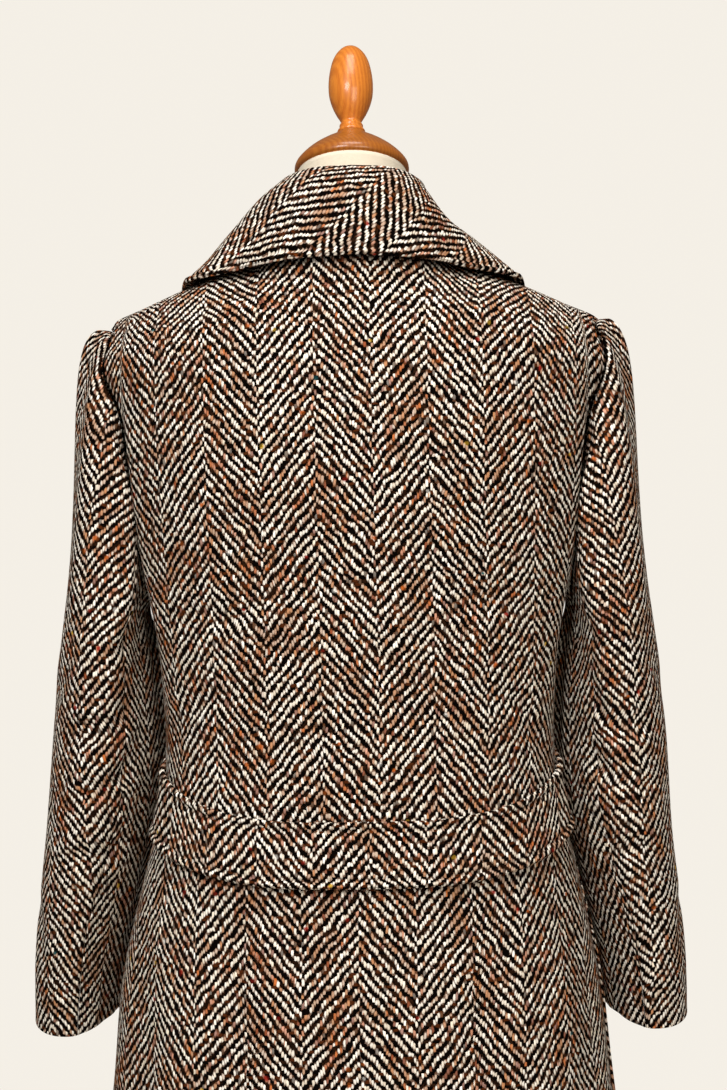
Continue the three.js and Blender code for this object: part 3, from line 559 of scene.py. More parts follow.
def tweed_material():
    """Two and two twill in reversing columns. Every float of the cream warp and of the dark weft is one cell of a
    regular lattice that is shaken a little, so that the floats are beads of uneven size, place and colour."""
    m = Nodes("tweed")
    uv = m.uv()
    x, y, _ = m.split(uv)
    a = m.add(m.div(x, END), m.mul(m.sub(m.noise(uv, 60.0, 3.0), 0.5), 2.2))
    b = m.add(m.div(y, PICK), m.mul(m.sub(m.noise(m.xyz(y, x, 3.3), 75.0, 3.0), 0.5), 2.9))
    k = m.floor(m.div(a, float(COLUMN)))
    s = m.sub(1.0, m.mul(m.flmod(k, 2.0), 2.0))
    al = m.sub(a, m.mul(k, float(COLUMN)))
    q = m.mul(m.add(m.sub(b, m.mul(s, al)), m.mul(s, 0.5)), 0.25)
    fuzz = m.noise(m.xyz(a, m.mul(b, 1.1), 0.0), 2.6, 3.0, 0.75)
    rough = m.mul(m.sub(fuzz, 0.5), 0.85)

    def lattice(along, phase, shake):
        n = m.tree.nodes.new("ShaderNodeTexVoronoi")
        n.voronoi_dimensions, n.feature = "3D", "F1"
        n.inputs["Scale"].default_value = 1.0
        n.inputs["Randomness"].default_value = shake
        px, py = m.add(along, 0.5 * shake - 0.5), m.add(q, 0.5 * shake - phase)
        m.put(n.inputs["Vector"], m.xyz(px, py, 0.5 * shake))
        cx, cy, _ = m.split(n.outputs["Position"])
        r = m.tree.nodes.new("ShaderNodeSeparateColor")
        m.put(r.inputs[0], n.outputs["Color"])
        return m.sub(px, cx), m.sub(py, cy), r.outputs

    # warp floats: one end wide and two picks long
    wa, wq, wr = lattice(a, 0.25, 0.30)
    wb = m.add(m.mul(wq, 4.0), m.mul(s, wa))
    big = m.power(wr[2], 6.0)
    wide = m.add(m.add(0.60, m.mul(wr[0], 0.17)), m.mul(big, 0.30))
    long = m.add(m.add(0.82, m.mul(wr[1], 0.24)), m.mul(big, 0.30))
    ew = m.math("SQRT", m.add(m.power(m.div(wa, wide), 2.0), m.power(m.absol(m.div(wb, long)), 2.0)))
    ew = m.add(ew, rough)
    # weft floats: two ends wide and one pick high
    fb, fq, fr = lattice(b, 0.75, 0.30)
    fa = m.sub(fb, m.mul(fq, 4.0))
    ef = m.math("SQRT", m.add(m.power(m.div(fb, m.add(0.62, m.mul(fr[0], 0.16))), 2.0), m.power(m.absol(m.div(fa, m.add(1.0, m.mul(fr[1], 0.25)))), 2.0)))
    ef = m.add(ef, m.mul(rough, 0.8))
    warp = m.step(m.sub(m.mul(ef, 1.06), ew), -0.02, 0.09)
    # each line of floats runs through stretches of other colours
    line = m.floor(m.add(q, 0.25))
    run = m.noise(m.xyz(m.mul(line, 7.31), m.mul(a, 0.075), m.mul(k, 3.7)), 1.0, 2.0, 0.6)
    run2 = m.noise(m.xyz(m.mul(line, 5.17), m.mul(a, 0.11), m.add(m.mul(k, 2.9), 40.0)), 1.0, 2.0, 0.6)
    area = m.noise(uv, 19.0, 2.0, 0.5)
    tan_share = m.add(0.05, m.mul(m.step(m.add(run, m.mul(area, 0.45)), 0.66, 0.90), 0.90))
    orange_share = m.mul(m.step(m.add(run2, m.mul(area, 0.40)), 0.72, 0.96), 0.62)
    warp_colour = m.blend(m.power(wr[0], 1.4), CREAM, ECRU)
    warp_colour = m.blend(m.mul(m.less(wr[1], tan_share), m.add(0.35, m.mul(wr[2], 0.6))), warp_colour, TAN)
    mixed = m.flmod(m.mul(m.add(wr[0], wr[1]), 7.7), 1.0)
    warp_colour = m.blend(m.mul(m.less(mixed, orange_share), 0.75), warp_colour, ORANGE)
    warp_colour = m.blend(m.mul(m.more(mixed, 0.955), 0.8), warp_colour, RUST)
    warp_colour = m.blend(m.mul(m.math("LESS_THAN", m.absol(m.sub(mixed, 0.82)), 0.012), 0.8), warp_colour, BROWN)
    # the rim of each cream float turns dark warm brown: partly brown fibres at the yarn's edge, partly painted shade
    # where the float falls away
    warp_colour = m.blend(m.mul(m.step(ew, 0.60, 1.15), 0.75), warp_colour, RIM_BROWN_AND_SHADE)
    brown_share = m.add(0.08, m.mul(m.step(m.add(run2, m.mul(area, 0.3)), 0.60, 0.85), 0.75))
    weft_colour = m.blend(m.mul(m.less(fr[2], brown_share), m.add(0.4, m.mul(fr[0], 0.6))), BLACK, BROWN)
    weft_colour = m.blend(m.mul(m.more(fr[1], 0.93), 0.8), weft_colour, RUST_BROWN)
    weft_colour = m.blend(m.mul(m.step(ef, 0.8, 1.3), 0.3), weft_colour, BROWN)
    colour = m.blend(warp, weft_colour, warp_colour)
    # nubs of other colours, and thick white slubs, spun into the yarn
    n = m.tree.nodes.new("ShaderNodeTexVoronoi")
    n.voronoi_dimensions, n.feature = "2D", "F1"
    n.inputs["Scale"].default_value = 1.0
    n.inputs["Randomness"].default_value = 0.9
    m.put(n.inputs["Vector"], m.xyz(m.mul(a, 1 / 5.5), m.mul(b, 1 / 4.5)))
    r = m.tree.nodes.new("ShaderNodeSeparateColor")
    m.put(r.inputs[0], n.outputs["Color"])
    near = m.add(n.outputs["Distance"], m.mul(rough, 0.34))
    nub = m.mul(m.step(near, m.add(0.15, m.mul(r.outputs[1], 0.14)), 0.09), m.less(r.outputs[0], 0.055))
    tint = NUBS[-1][1]
    pick = m.flmod(m.mul(r.outputs[2], 9.7), 1.0)
    for limit, c in reversed(NUBS[:-1]):
        tint = m.blend(m.less(pick, limit), tint, c)
    colour = m.blend(m.mul(nub, m.add(0.35, m.mul(warp, 0.6))), colour, tint)
    # roundness of each float, in height and in painted shade
    hw = m.math("SQRT", m.math("MAXIMUM", m.sub(1.0, m.mul(ew, ew)), 0.0))
    hf = m.mul(m.math("SQRT", m.math("MAXIMUM", m.sub(1.0, m.mul(ef, ef)), 0.0)), 0.7)
    height = m.math("MAXIMUM", m.mul(hw, m.add(0.85, m.mul(big, 0.6))), hf)
    height = m.math("MAXIMUM", height, m.mul(nub, 0.7))
    # painted shade: the colour darkens where a float is low and between floats, and the fuzz noise varies the tone at
    # random
    colour = m.shade(colour, m.mul(m.add(0.42, m.mul(height, 0.66)), m.add(0.70, m.mul(fuzz, 0.60))))
    m.put(m.bsdf.inputs["Base Color"], colour)
    m.bsdf.inputs["Roughness"].default_value = 1.0
    m.bsdf.inputs["Specular IOR Level"].default_value = 0.0
    m.put(m.bsdf.inputs["Normal"], m.bump(m.add(height, m.mul(fuzz, 0.45)), 0.0009, 1.0))
    return m.material


def linen_material():
    m = Nodes("linen")
    p = m.object_coords()
    x, y, z = m.split(p)
    ang = m.math("ARCTAN2", x, y)
    u, v = m.mul(ang, 0.06 / 0.0007), m.div(z, 0.0007)
    weave = m.mul(m.math("SINE", m.mul(u, math.pi)), m.math("SINE", m.mul(v, math.pi)))
    slub = m.noise(m.xyz(m.mul(ang, 12.0), m.mul(z, 900.0), 0.0), 1.0, 2.0)
    colour = m.blend(slub, (0.80, 0.72, 0.575), (0.735, 0.65, 0.505))
    m.put(m.bsdf.inputs["Base Color"], colour)
    m.bsdf.inputs["Roughness"].default_value = 0.85
    m.bsdf.inputs["Specular IOR Level"].default_value = 0.25
    m.put(m.bsdf.inputs["Normal"], m.bump(m.add(weave, slub), 0.00012, 0.6))
    return m.material


def wood_material(name="wood", tone=1.0):
    m = Nodes(name)
    p = m.object_coords()
    x, y, z = m.split(p)
    base = m.xyz(m.mul(x, 1.0), m.mul(y, 1.0), m.mul(z, 0.12))
    warpn = m.noise(base, 22.0, 3.0, 0.55)
    rings = m.math("SINE", m.add(m.mul(m.add(x, m.mul(y, 0.6)), 1500.0), m.mul(warpn, 14.0)))
    fine = m.noise(m.xyz(x, y, m.mul(z, 0.05)), 900.0, 3.0, 0.6)
    f = m.add(m.mul(m.add(m.mul(rings, 0.5), 0.5), 0.22), m.mul(fine, 0.55))
    colour = m.blend(m.step(f, 0.12, 0.68), (0.72, 0.235, 0.028), (0.50, 0.130, 0.013))
    colour = m.blend(m.mul(m.step(warpn, 0.58, 0.74), 0.35), colour, (0.36, 0.080, 0.008))
    # a tone below 1 darkens the whole wood as painted shade
    m.put(m.bsdf.inputs["Base Color"], m.shade(colour, tone))
    m.bsdf.inputs["Roughness"].default_value = 0.36
    m.bsdf.inputs["Specular IOR Level"].default_value = 0.30
    m.bsdf.inputs["Coat Weight"].default_value = 0.35
    m.bsdf.inputs["Coat Roughness"].default_value = 0.14
    return m.material


def horn_material():
    m = Nodes("horn")
    p = m.object_coords()
    n = m.noise(p, 130.0, 4.0, 0.6, 1.5)
    m.put(m.bsdf.inputs["Base Color"], m.blend(m.step(n, 0.35, 0.7), (0.022, 0.011, 0.006), (0.12, 0.055, 0.025)))
    m.bsdf.inputs["Roughness"].default_value = 0.3
    return m.material


# the second wood is the same wood darkened as painted shade, standing in for the shade on the neck cap's rim band
TWEED, LINEN, WOOD, SHADED_WOOD, HORN = tweed_material(), linen_material(), wood_material(), wood_material("wood_painted_shade", 0.58), horn_material()

# ================================================================ back above and below the waist seam
def seam_dip(share, level, front):
    """The cloth sinks beside the armhole seam, most of all at the shoulder."""
    d = (edge_share(level, front) - np.abs(share)) * 290
    shoulder = mix(0.8, 4.2, smooth(-0.1, 0.1, share)) * smooth(1370, 1412, level) * np.exp(-((d / 8) ** 2))
    return -(shoulder + trough(level) * np.exp(-((d / 17) ** 2)) + 1.0 * smooth(1105, 1140, level) * np.exp(-((d / 4.5) ** 2)))


def back_cloth(share, level):
    p, n = body(share, level, False), body_normal(share, level, False)
    return p + n * (body_relief(p) + seam_dip(share, level, False))[..., None], n


def upright_uv(P, level, top):
    """Cloth coordinates of the body: length across from the middle, and length along, with the columns upright above the blades."""
    C = P.shape[1]
    u = arcs(P, 1)
    u = u - u[:, [C // 2]]
    row = int(np.argmin(np.abs(level[:, C // 2] - top)))
    x_row, u_row = P[row, :, 0], u[row]
    order = np.argsort(x_row)
    by_x = np.interp(P[..., 0], x_row[order], u_row[order])
    beyond = np.abs(P[..., 0]) > np.abs(x_row).max()
    by_x = np.where(beyond, np.sign(P[..., 0]) * (np.abs(u_row).max() + (np.abs(P[..., 0]) - np.abs(x_row).max()) * 0.0012), by_x)
    w = smooth(top - 40, top + 30, level)
    return mix(u, by_x, w)


def back_panel(low, high, rows, cols, f):
    w = np.linspace(-1, 1, cols)[None, :]
    lo, hi = np.broadcast_to(low(np.abs(w)), w.shape), np.broadcast_to(high(np.abs(w)), w.shape)
    level = mix(lo, hi, f[:, None])
    share = w * (edge_share(level, False) - SEAM / 600)
    P, N = back_cloth(share, level)
    return P, N, level


f = np.concatenate([np.linspace(0, (1345 - 905) / (1419.4 - 905), 112)[:-1], np.linspace((1345 - 905) / (1419.4 - 905), 1, 44)])
P, N, level = back_panel(lambda w: waist(w) + SEAM / 2, lambda w: w * 0 + NAPE - 0.6, len(f), 161, f)
u = upright_uv(P, level, 1240)
v = arcs(P, 0)
v = v + (P[0, :, 2] - 903)[None, :] * 0.001
BACK_V = v
u = u + mix(0.0165, 0.0130, smooth(1000, 1330, P[..., 2]))  # the middle column boundary stands a little to one side
shell("cloth_back_upper", P, N, np.stack([u, v], -1), CLOTH, ["back_upper"], TWEED)

f = np.linspace(0, 1, 136)
P, N, level = back_panel(lambda w: w * 0 + HEM, lambda w: waist(w) - SEAM / 2, len(f), 177, f)
u = arcs(P, 1)
u = u - u[:, [88]]
v = arcs(P, 0)
v = v - v[[-1]] + (P[-1, :, 2] - 903)[None, :] * 0.001
shell("cloth_back_skirt", P, N, np.stack([u - 0.0025 + COLUMN * END, v], -1), CLOTH, ["back_skirt"], TWEED)

# ================================================================ half belt
w = np.linspace(-0.94, 0.91, 169)  # the left end shows, the right one stands at the side seam
d = np.concatenate([[0, 0.02, 0.045, 0.07, 0.095, 0.12, 0.145, 0.17, 0.2], np.linspace(0.24, 0.76, 13), 1 - np.array([0.2, 0.17, 0.145, 0.12, 0.095, 0.07, 0.045, 0.02, 0])])
lower, upper = through(BELT[:, 0], BELT[:, 2], np.abs(w)), through(BELT[:, 0], BELT[:, 1], np.abs(w))
level = mix(lower[None, :], upper[None, :], d[:, None])
share = np.broadcast_to(w[None, :], level.shape)
P, N = body(share, level, False), body_normal(share, level, False)
relief = body_relief(P)
wide = (upper - lower)[None, :]
near = np.minimum(d[:, None], 1 - d[:, None]) * wide  # millimetres from the nearer long edge
puff = 1.7 * np.exp(-((near - 3.0) / 2.3) ** 2) - 2.6 * np.exp(-((near - 6.9) / 1.4) ** 2) + 2.0 + 2.4 * (1 - d[:, None]) ** 2
end = np.minimum(0.91 - share, share + 0.94) * 290
P = P + N * (BELT_THICK + 1.2 + relief + puff * smooth(0, 40, end) - 3.4 * smooth(26, 0, end))[..., None]
u = arcs(P, 1)
u = u - u[:, [int(np.argmin(np.abs(w)))]]
v = arcs(P, 0)
shell("cloth_half_belt", P, N, np.stack([u + 0.0056 + COLUMN * END, v + 0.0011], -1), BELT_THICK, ["half_belt"], TWEED)

# ================================================================ fronts
def roll_x(z):
    return mix(LAPEL_FOOT[0], ROLL_TOP[0], (z - LAPEL_FOOT[1]) / (ROLL_TOP[1] - LAPEL_FOOT[1]))


ROLL_TOP_LEVEL = float(spot(np.array([ROLL_TOP[0]]), np.array([ROLL_TOP[1]]), True)[1][0])


def inner_edge(level):
    x = np.zeros_like(level)
    for _ in range(8):
        x = np.maximum(-OVERLAP, roll_x(body(share_at(x, level, True, 18), level, True)[..., 2]) - 1)
    top = mix(ROLL_TOP[0], NECK_X, np.clip((level - ROLL_TOP_LEVEL) / (NAPE - ROLL_TOP_LEVEL), 0, 1) ** 0.8)
    return np.where(level <= BREAK_LEVEL, -OVERLAP, np.where(level >= ROLL_TOP_LEVEL, top, x))


def over_step(x, level):
    return UNDER_STEP * (1 - smooth(36, 82, x)) * (1 - smooth(1290, 1350, level))


def mirrored_relief(p, mirror):
    return body_relief(p * np.array([-1, 1, 1]) if mirror else p)


front_levels = np.concatenate([np.linspace(HEM, 1165, 190), np.linspace(1169, 1345, 46), np.linspace(1348, NAPE - 0.6, 44)])


def front_panel(name, node, over):
    level = front_levels
    x0 = np.minimum(inner_edge(level), NECK_X - 0.2)
    start = np.where(level > NAPE - 1, NECK_SHARE, share_at(x0, level, True))
    stop = edge_share(level, True) - SEAM / 600
    flat = np.minimum(np.maximum(share_at(np.full_like(level, 40), level, True), start + 0.1), mix(start, stop, 0.4))
    t = np.concatenate([np.linspace(0, 1, 20)[:-1], np.linspace(1, 2, 66)])
    share = np.where(t[None, :] < 1, mix(start[:, None], flat[:, None], np.minimum(t, 1)[None, :]), mix(flat[:, None], stop[:, None], np.maximum(t - 1, 0)[None, :]))
    lv = np.broadcast_to(level[:, None], share.shape)
    P, N = body(share, lv, True), body_normal(share, lv, True)
    lift = over_step(P[..., 0], lv) if over else 0
    quiet = smooth(-10, 60, P[..., 0])
    P = P + N * (lift + mirrored_relief(P, over) * quiet + seam_dip(share, lv, True))[..., None]
    u = arcs(P, 1)
    zero = np.array([np.interp(0, row[:, 0], a) if row[0, 0] < 0 else a[0] - row[0, 0] * 0.00105 for row, a in zip(P, u)])
    u = u - zero[:, None]
    row = int(np.argmin(np.abs(level - 1150)))
    by_x = np.interp(P[..., 0], P[row, :, 0], u[row]) + np.maximum(0, P[..., 0] - P[row, -1, 0]) * 0.0011
    u = mix(u, by_x, smooth(1120, 1200, lv))
    v = arcs(P, 0)
    shell(name, P, N, np.stack([u, v], -1), CLOTH, [node], TWEED, mirror=over)


front_panel("cloth_front_left", "front_left", False)
front_panel("cloth_front_right", "front_right", True)

# ================================================================ lapels
def outer_edge(v):
    return np.stack([(1 - v) ** 2 * LAPEL_FOOT[k] + 2 * v * (1 - v) * LAPEL_BOW[k] + v * v * LAPEL_POINT[k] for k in (0, 1)], -1)


def top_edge(u):
    t, w = u / NOTCH, (u - NOTCH) / (1 - NOTCH)
    return np.stack([np.where(u <= NOTCH, mix(ROLL_TOP[k], GORGE_END[k], t), mix(GORGE_END[k], LAPEL_POINT[k], w)) for k in (0, 1)], -1)


def lapel(name, node, over):
    first = 0.0
    if not over:
        while outer_edge(np.array(first))[0] < -roll_x(outer_edge(np.array(first))[1]) + 5:
            first += 0.01
    rows, cols = 66, 54
    w = np.linspace(0, 1, rows)[:, None] + np.zeros((1, cols))
    u = np.linspace(0, 1, cols)[None, :] + np.zeros((rows, 1))
    outer = outer_edge(mix(first, 1, w))
    z0 = mix(LAPEL_FOOT[1] if over else outer_edge(np.array(first))[1] + 0.5, ROLL_TOP[1], w)
    x0 = roll_x(z0) if over else np.maximum(roll_x(z0), -roll_x(z0) + 6)
    bend, top = smooth(0.55, 1, w), top_edge(u)
    x = mix(x0, outer[..., 0], u) + (top[..., 0] - mix(ROLL_TOP[0], LAPEL_POINT[0], u)) * bend
    z = mix(z0, outer[..., 1], u) + (top[..., 1] - mix(ROLL_TOP[1], LAPEL_POINT[1], u)) * bend
    share, level = spot(np.maximum(x, -29 if over else 0), z, True)
    P, N = body(share, level, True), body_normal(share, level, True)
    rise = LAPEL_THICK + 1.2 + 4.5 * np.sin(np.pi * np.minimum(1, u * 1.5 + 0.1)) * smooth(0, 0.4, w)
    lift = over_step(P[..., 0], level) if over else 0
    base = P + N * (rise + lift)[..., None]
    edge = arcs(base, 1) * 1000
    near = np.minimum(edge[:, [-1]] - edge, (arcs(base, 0)[[-1]] - arcs(base, 0)) * 1000)
    puff = 0.35 * np.exp(-((near - 2.4) / 1.8) ** 2) - 0.8 * np.exp(-((near - 6.3) / 1.3) ** 2)
    P = base + N * puff[..., None]
    a = math.atan2(ROLL_TOP[0] - LAPEL_FOOT[0], ROLL_TOP[1] - LAPEL_FOOT[1])
    uu, vv = x * math.cos(a) - z * math.sin(a), x * math.sin(a) + z * math.cos(a)
    shell(name, P, N, np.stack([uu, vv], -1) * 0.00104, LAPEL_THICK, [node], TWEED, mirror=over)


lapel("cloth_lapel_left", "lapel_left", False)
lapel("cloth_lapel_right", "lapel_right", True)

# ================================================================ collar
edge_points = []
for row in COLLAR:
    s, l = spot(np.array([row[8]]), np.array([row[9]]), bool(row[11]))
    edge_points.append((body(s, l, bool(row[11])) + body_normal(s, l, bool(row[11])) * (row[10] + COLLAR_THICK))[0])
edge_points = np.array(edge_points)


def collar_points(along, v):
    a, sign = np.abs(along), np.where(along < 0, -1.0, 1.0)
    read = lambda table: np.stack([through(COLLAR[:, 0], table[:, k], a) * (sign if k == 0 else 1) for k in range(3)], -1)
    seam, roll, edge = read(COLLAR[:, 1:4]), read(COLLAR[:, 4:7]), read(edge_points)
    drop = through(COLLAR[:, 0], COLLAR[:, 7], a)
    fall = edge - roll
    outward = unit(fall * np.array([1, 1, 0]))
    length = np.linalg.norm(fall, axis=-1)
    t = v / STAND_SHARE
    stand = mix(seam, roll, t[..., None]) + outward * (-1.5 * np.sin(np.pi * np.clip(t, 0, 1)))[..., None]
    t = np.clip((v - STAND_SHARE) / (1 - STAND_SHARE), 0, 1)[..., None]
    lead = roll + outward * (0.31 * length)[..., None] + np.stack([0 * length, 0 * length, drop * length], -1)
    over = (1 - t) ** 2 * roll + 2 * t * (1 - t) * lead + t * t * edge
    return np.where((v < STAND_SHARE)[..., None], stand, over)


vs = np.concatenate([np.linspace(0, 0.16, 10)[:-1], np.linspace(0.16, 0.46, 30)[:-1], np.linspace(0.46, 0.9, 32)[:-1], np.linspace(0.9, 1, 16)])
al = np.linspace(-1, 1, 241)
along, vv = np.meshgrid(al, vs)
P = collar_points(along, vv)
# the roll line is a soft bend, not a corner
weight = np.exp(-((vv - 0.31) / 0.1) ** 2)[..., None]
for _ in range(40):
    Q = P.copy()
    Q[1:-1] = P[1:-1] * 0.5 + (P[:-2] + P[2:]) * 0.25
    P = mix(P, Q, weight)
lift = 4.0 * np.exp(-((vv - 0.31) / 0.09) ** 2)
P[..., 2] += lift
N = grid_normal(P)
if N[70, 120, 1] < 0:
    N = -N
t_arc = arcs(P, 0)
t_arc = t_arc[[30]] - t_arc
s_arc = arcs(P, 1)
s_arc = s_arc - s_arc[:, [120]]
down = (arcs(P, 0)[[-1]] - arcs(P, 0)) * 1000
ends = np.minimum(s_arc - s_arc[:, [0]], s_arc[:, [-1]] - s_arc) * 1000
near = np.minimum(down, np.where(vv > STAND_SHARE + 0.05, ends, 99))
puff = 1.2 * np.exp(-((near - 3.0) / 2.2) ** 2) - 2.2 * np.exp(-((near - 6.9) / 1.4) ** 2) + 1.8 * smooth(0.86, 1, vv) * smooth(0.55, 0.4, np.abs(along))
soft = 0.9 * np.sin(along * 9 + 1) * smooth(0.4, 0.7, vv) * smooth(1.0, 0.85, vv)
# the fall lies closer on the right, and its corners lie down on the shoulders
full = np.where(along > 0, 5.0, -6.0) * np.exp(-((vv - 0.62) / 0.22) ** 2) * np.exp(-((np.abs(along) - 0.40) / 0.18) ** 2)
P = P + N * (puff + soft + full)[..., None]
corner = np.exp(-((np.abs(along) - 0.56) / 0.09) ** 2) * smooth(0.62, 1.0, vv)
P[..., 2] -= 4.0 * corner
P[..., 0] -= np.sign(P[..., 0]) * 9.5 * corner
a = math.radians(-44)
mid = s_arc[[60]] + 0 * s_arc
ss = mix(mid, s_arc, 0.6)
uu, wv = ss * math.cos(a) - t_arc * math.sin(a) - 0.0158, ss * math.sin(a) + t_arc * math.cos(a)
shell("cloth_collar", P, N, np.stack([uu, wv], -1), COLLAR_THICK, ["collar"], TWEED)

# ================================================================ sleeves
def ring(z, angle):
    outer, inner, y, half, pitch = (through(SLEEVE[:, 0], SLEEVE[:, k], z) for k in range(1, 6))
    pitch, a = np.radians(pitch), np.radians(angle)
    c, s = np.cos(a), np.sin(a)
    across, deep = np.sign(c) * np.abs(c) ** 0.93, np.sign(s) * np.abs(s) ** 0.93 * half
    return np.stack([(outer + inner) / 2 + across * (outer - inner) / 2, y + deep * np.cos(pitch), z - deep * np.sin(pitch)], -1)


CAP_END, CUFF = 1072.0, 738.0


def sleeve(angle, t):
    a = np.radians(angle)
    c, s = np.cos(a), np.sin(a)
    front = s < 0
    share, level = 1 - armhole_depth(c, front), mix(UNDERARM, NAPE, (1 + c) / 2)
    n = body_normal(np.minimum(share, 0.985), level, front)
    under = smooth(0.2, 1, -c)
    zero = 0 * c
    high = smooth(0.55, 1, c)
    start = body(share, level, front) + np.stack([zero + 1.6 + 0.8 * under, zero, -7.0 * high], -1) + n * ((-0.6 + 1.7 * under) * (1 - high) - trough(level))[..., None]
    end = ring(np.full(c.shape, CAP_END), angle)
    far = np.linalg.norm(end - start, axis=-1)
    out = unit(np.stack([zero + 1, 0.30 * s, 0.2 * np.maximum(0, c) - 0.25 * np.abs(s)], -1))
    lead = start + out * (mix(27, 9, under) * mix(1, 0.62, np.abs(s)))[..., None] + np.stack([17.5 * high, zero, 10.7 * high - 4 * under], -1)
    back = end + np.stack([-8 * (1 - under) - 15 * high, zero, 0.5 * far], -1)
    t_ = np.minimum(t, 1)[..., None]
    cap = (1 - t_) ** 3 * start + 3 * t_ * (1 - t_) ** 2 * lead + 3 * t_ * t_ * (1 - t_) * back + t_ ** 3 * end
    low = ring(mix(CAP_END, CUFF, np.clip(t - 1, 0, 1)), angle)
    return np.where((t < 1)[..., None], cap, low)


def elbow(z):
    return through(ELBOW_SEAM[:, 0], ELBOW_SEAM[:, 1], z)


SLEEVE_FOLDS = [
    # place round the sleeve (from its outermost line towards the back), height, and where it runs to
    (70, 930, 150, 985, 11, 3.4), (55, 985, 140, 1020, 11, 2.6), (60, 880, 140, 905, 11, 3.2), (75, 1050, 150, 1100, 12, 2.4),
    (-70, 905, -150, 930, 12, 3.2), (-60, 955, -140, 960, 12, 2.4), (-75, 860, -150, 870, 12, 2.6), (-80, 1085, -145, 1130, 12, 2.4),
    (20, 1010, 60, 1090, 14, 1.6), (-30, 985, -10, 1070, 14, 1.5), (10, 850, 55, 790, 14, 1.8),
]


def sleeve_relief(angle, z):
    a = (angle + 180) % 360 - 180
    mm = a * 0.95
    soft = 0.8 * np.sin(mm / 31 + z / 77) * np.sin(z / 49 + 0.7) + 0.5 * np.sin(mm / 19 - z / 61)
    w = smooth(1160, 1090, z) * smooth(738, 760, z)
    return (fold_field(mm, z, SLEEVE_FOLDS, 342) + soft) * w


def sleeve_grid(start, stop, cols, mirror):
    t = np.concatenate([np.linspace(0, 1, 64)[:-1] ** 1.0, np.linspace(1, 2, 86)])[:, None] + np.zeros((1, cols))
    w = np.linspace(0, 1, cols)[None, :] + np.zeros_like(t)
    guess = sleeve(mix(start(1000.0 + 0 * w), stop(1000.0 + 0 * w), w), t)[..., 2]
    angle = mix(start(guess), stop(guess), w)
    P = sleeve(angle, t)
    even = 0.5 * np.exp(-((t - 1) / 0.13) ** 2)[..., None]
    for _ in range(30):
        P[1:-1] = mix(P[1:-1], (P[:-2] + P[2:]) / 2, even[1:-1])
    da = sleeve(angle + 2, t) - sleeve(angle - 2, t)
    dt = sleeve(angle, np.minimum(2, t + 0.02)) - sleeve(angle, np.maximum(0, t - 0.02))
    N = unit(np.cross(da, dt))
    mid = N[-3, cols // 2]
    if mid[0] * (P[-3, cols // 2, 0] - 241) < 0:
        N = -N
    z = P[..., 2]
    round_ = (angle + 180) % 360 - 180
    relief = sleeve_relief(angle + (7 if mirror else 0), z) * (0.9 if mirror else 1)
    # the cap stands up a little beside its seam, and its back bulges over the armhole
    roped = 0.9 * np.exp(-((t - 0.06) / 0.045) ** 2) * smooth(-0.4, 0.6, np.cos(np.radians(angle)))
    bulge = (9.0 * np.exp(-((round_ - 106) / 27) ** 2) + 5.0 * np.exp(-((round_ + 106) / 27) ** 2)) * smooth(0.02, 0.35, t) * smooth(1.3, 0.85, t)
    P = P + N * (relief + roped + bulge)[..., None]
    P[..., 0] -= bulge * 0.75
    P = P + N * (5.0 * np.exp(-((round_ - 88) / 30) ** 2) * smooth(1150, 1040, z) * smooth(738, 790, z))[..., None]
    P[..., 0] += 7.0 * smooth(85, 125, round_) * mix(1, 0.5, smooth(158, 180, np.abs(round_))) * smooth(1130, 1070, z)
    P[..., 0] += 3.5 * smooth(-158, -180, round_) * smooth(1130, 1070, z)
    if mirror:  # this shoulder stands a little higher, and this sleeve hangs a little nearer
        P[..., 2] += 4.5 * np.exp(-((t / 0.16) ** 2)) * smooth(0.3, 1, np.cos(np.radians(angle)))
        P[..., 0] -= 4.0 * smooth(1000, 880, z)
    # the inner side hangs against the coat's body
    inner, middle = through(SLEEVE[:, 0], SLEEVE[:, 2], z), through(SLEEVE[:, 0], SLEEVE[:, 3], z)
    room = np.maximum(0, inner - through(BODY[:, 0], BODY[:, 3], z) - 1.0 - 0.06 * np.abs(middle)) + slim(z)
    push = np.where(round_ < 0, mix(smooth(50, 120, -round_), 0.3, smooth(150, 180, -round_)), 0.3 * smooth(155, 180, round_))
    P[..., 0] -= (room * push + 9.0 * np.exp(-((round_ + 142) / 20) ** 2)) * smooth(1100, 1040, z)
    return P, N, angle, t


def sleeve_uv(P, N, angle, t, zero):
    """Length round from angle 0, and length along; the cap is laid flat with as little stretch as there can be."""
    R, C = P.shape[:2]
    row = 63
    u0 = arcs(P, 1)
    u = u0.copy()
    for i in range(R):
        u[i] = u0[i] - np.interp(zero, angle[i], u0[i])
    v = np.zeros_like(u)
    down = np.linalg.norm(np.diff(P[row:], axis=0), axis=-1) * 0.001
    v[row + 1:] = -np.cumsum(down, axis=0)
    for i in range(row - 1, -1, -1):
        v[i] = v[i + 1] + np.linalg.norm(P[i] - P[i + 1], axis=-1) * 0.001
    UV = np.stack([u, v], -1)
    rows = np.concatenate([np.arange(0, row + 1, 3), [row + 3, row + 6]])
    cols = np.unique(np.round(np.linspace(0, C - 1, max(10, C // 3))).astype(int))
    hold = np.zeros((len(rows), len(cols)), bool)
    hold[rows >= row] = True
    flat = flatten(P[np.ix_(rows, cols)], UV[np.ix_(rows, cols)], hold)
    fine = finer(flat, rows.astype(float), cols.astype(float), row + 7, C)
    UV[:row] = fine[:row]
    u, v = UV[..., 0], UV[..., 1]
    return u, v


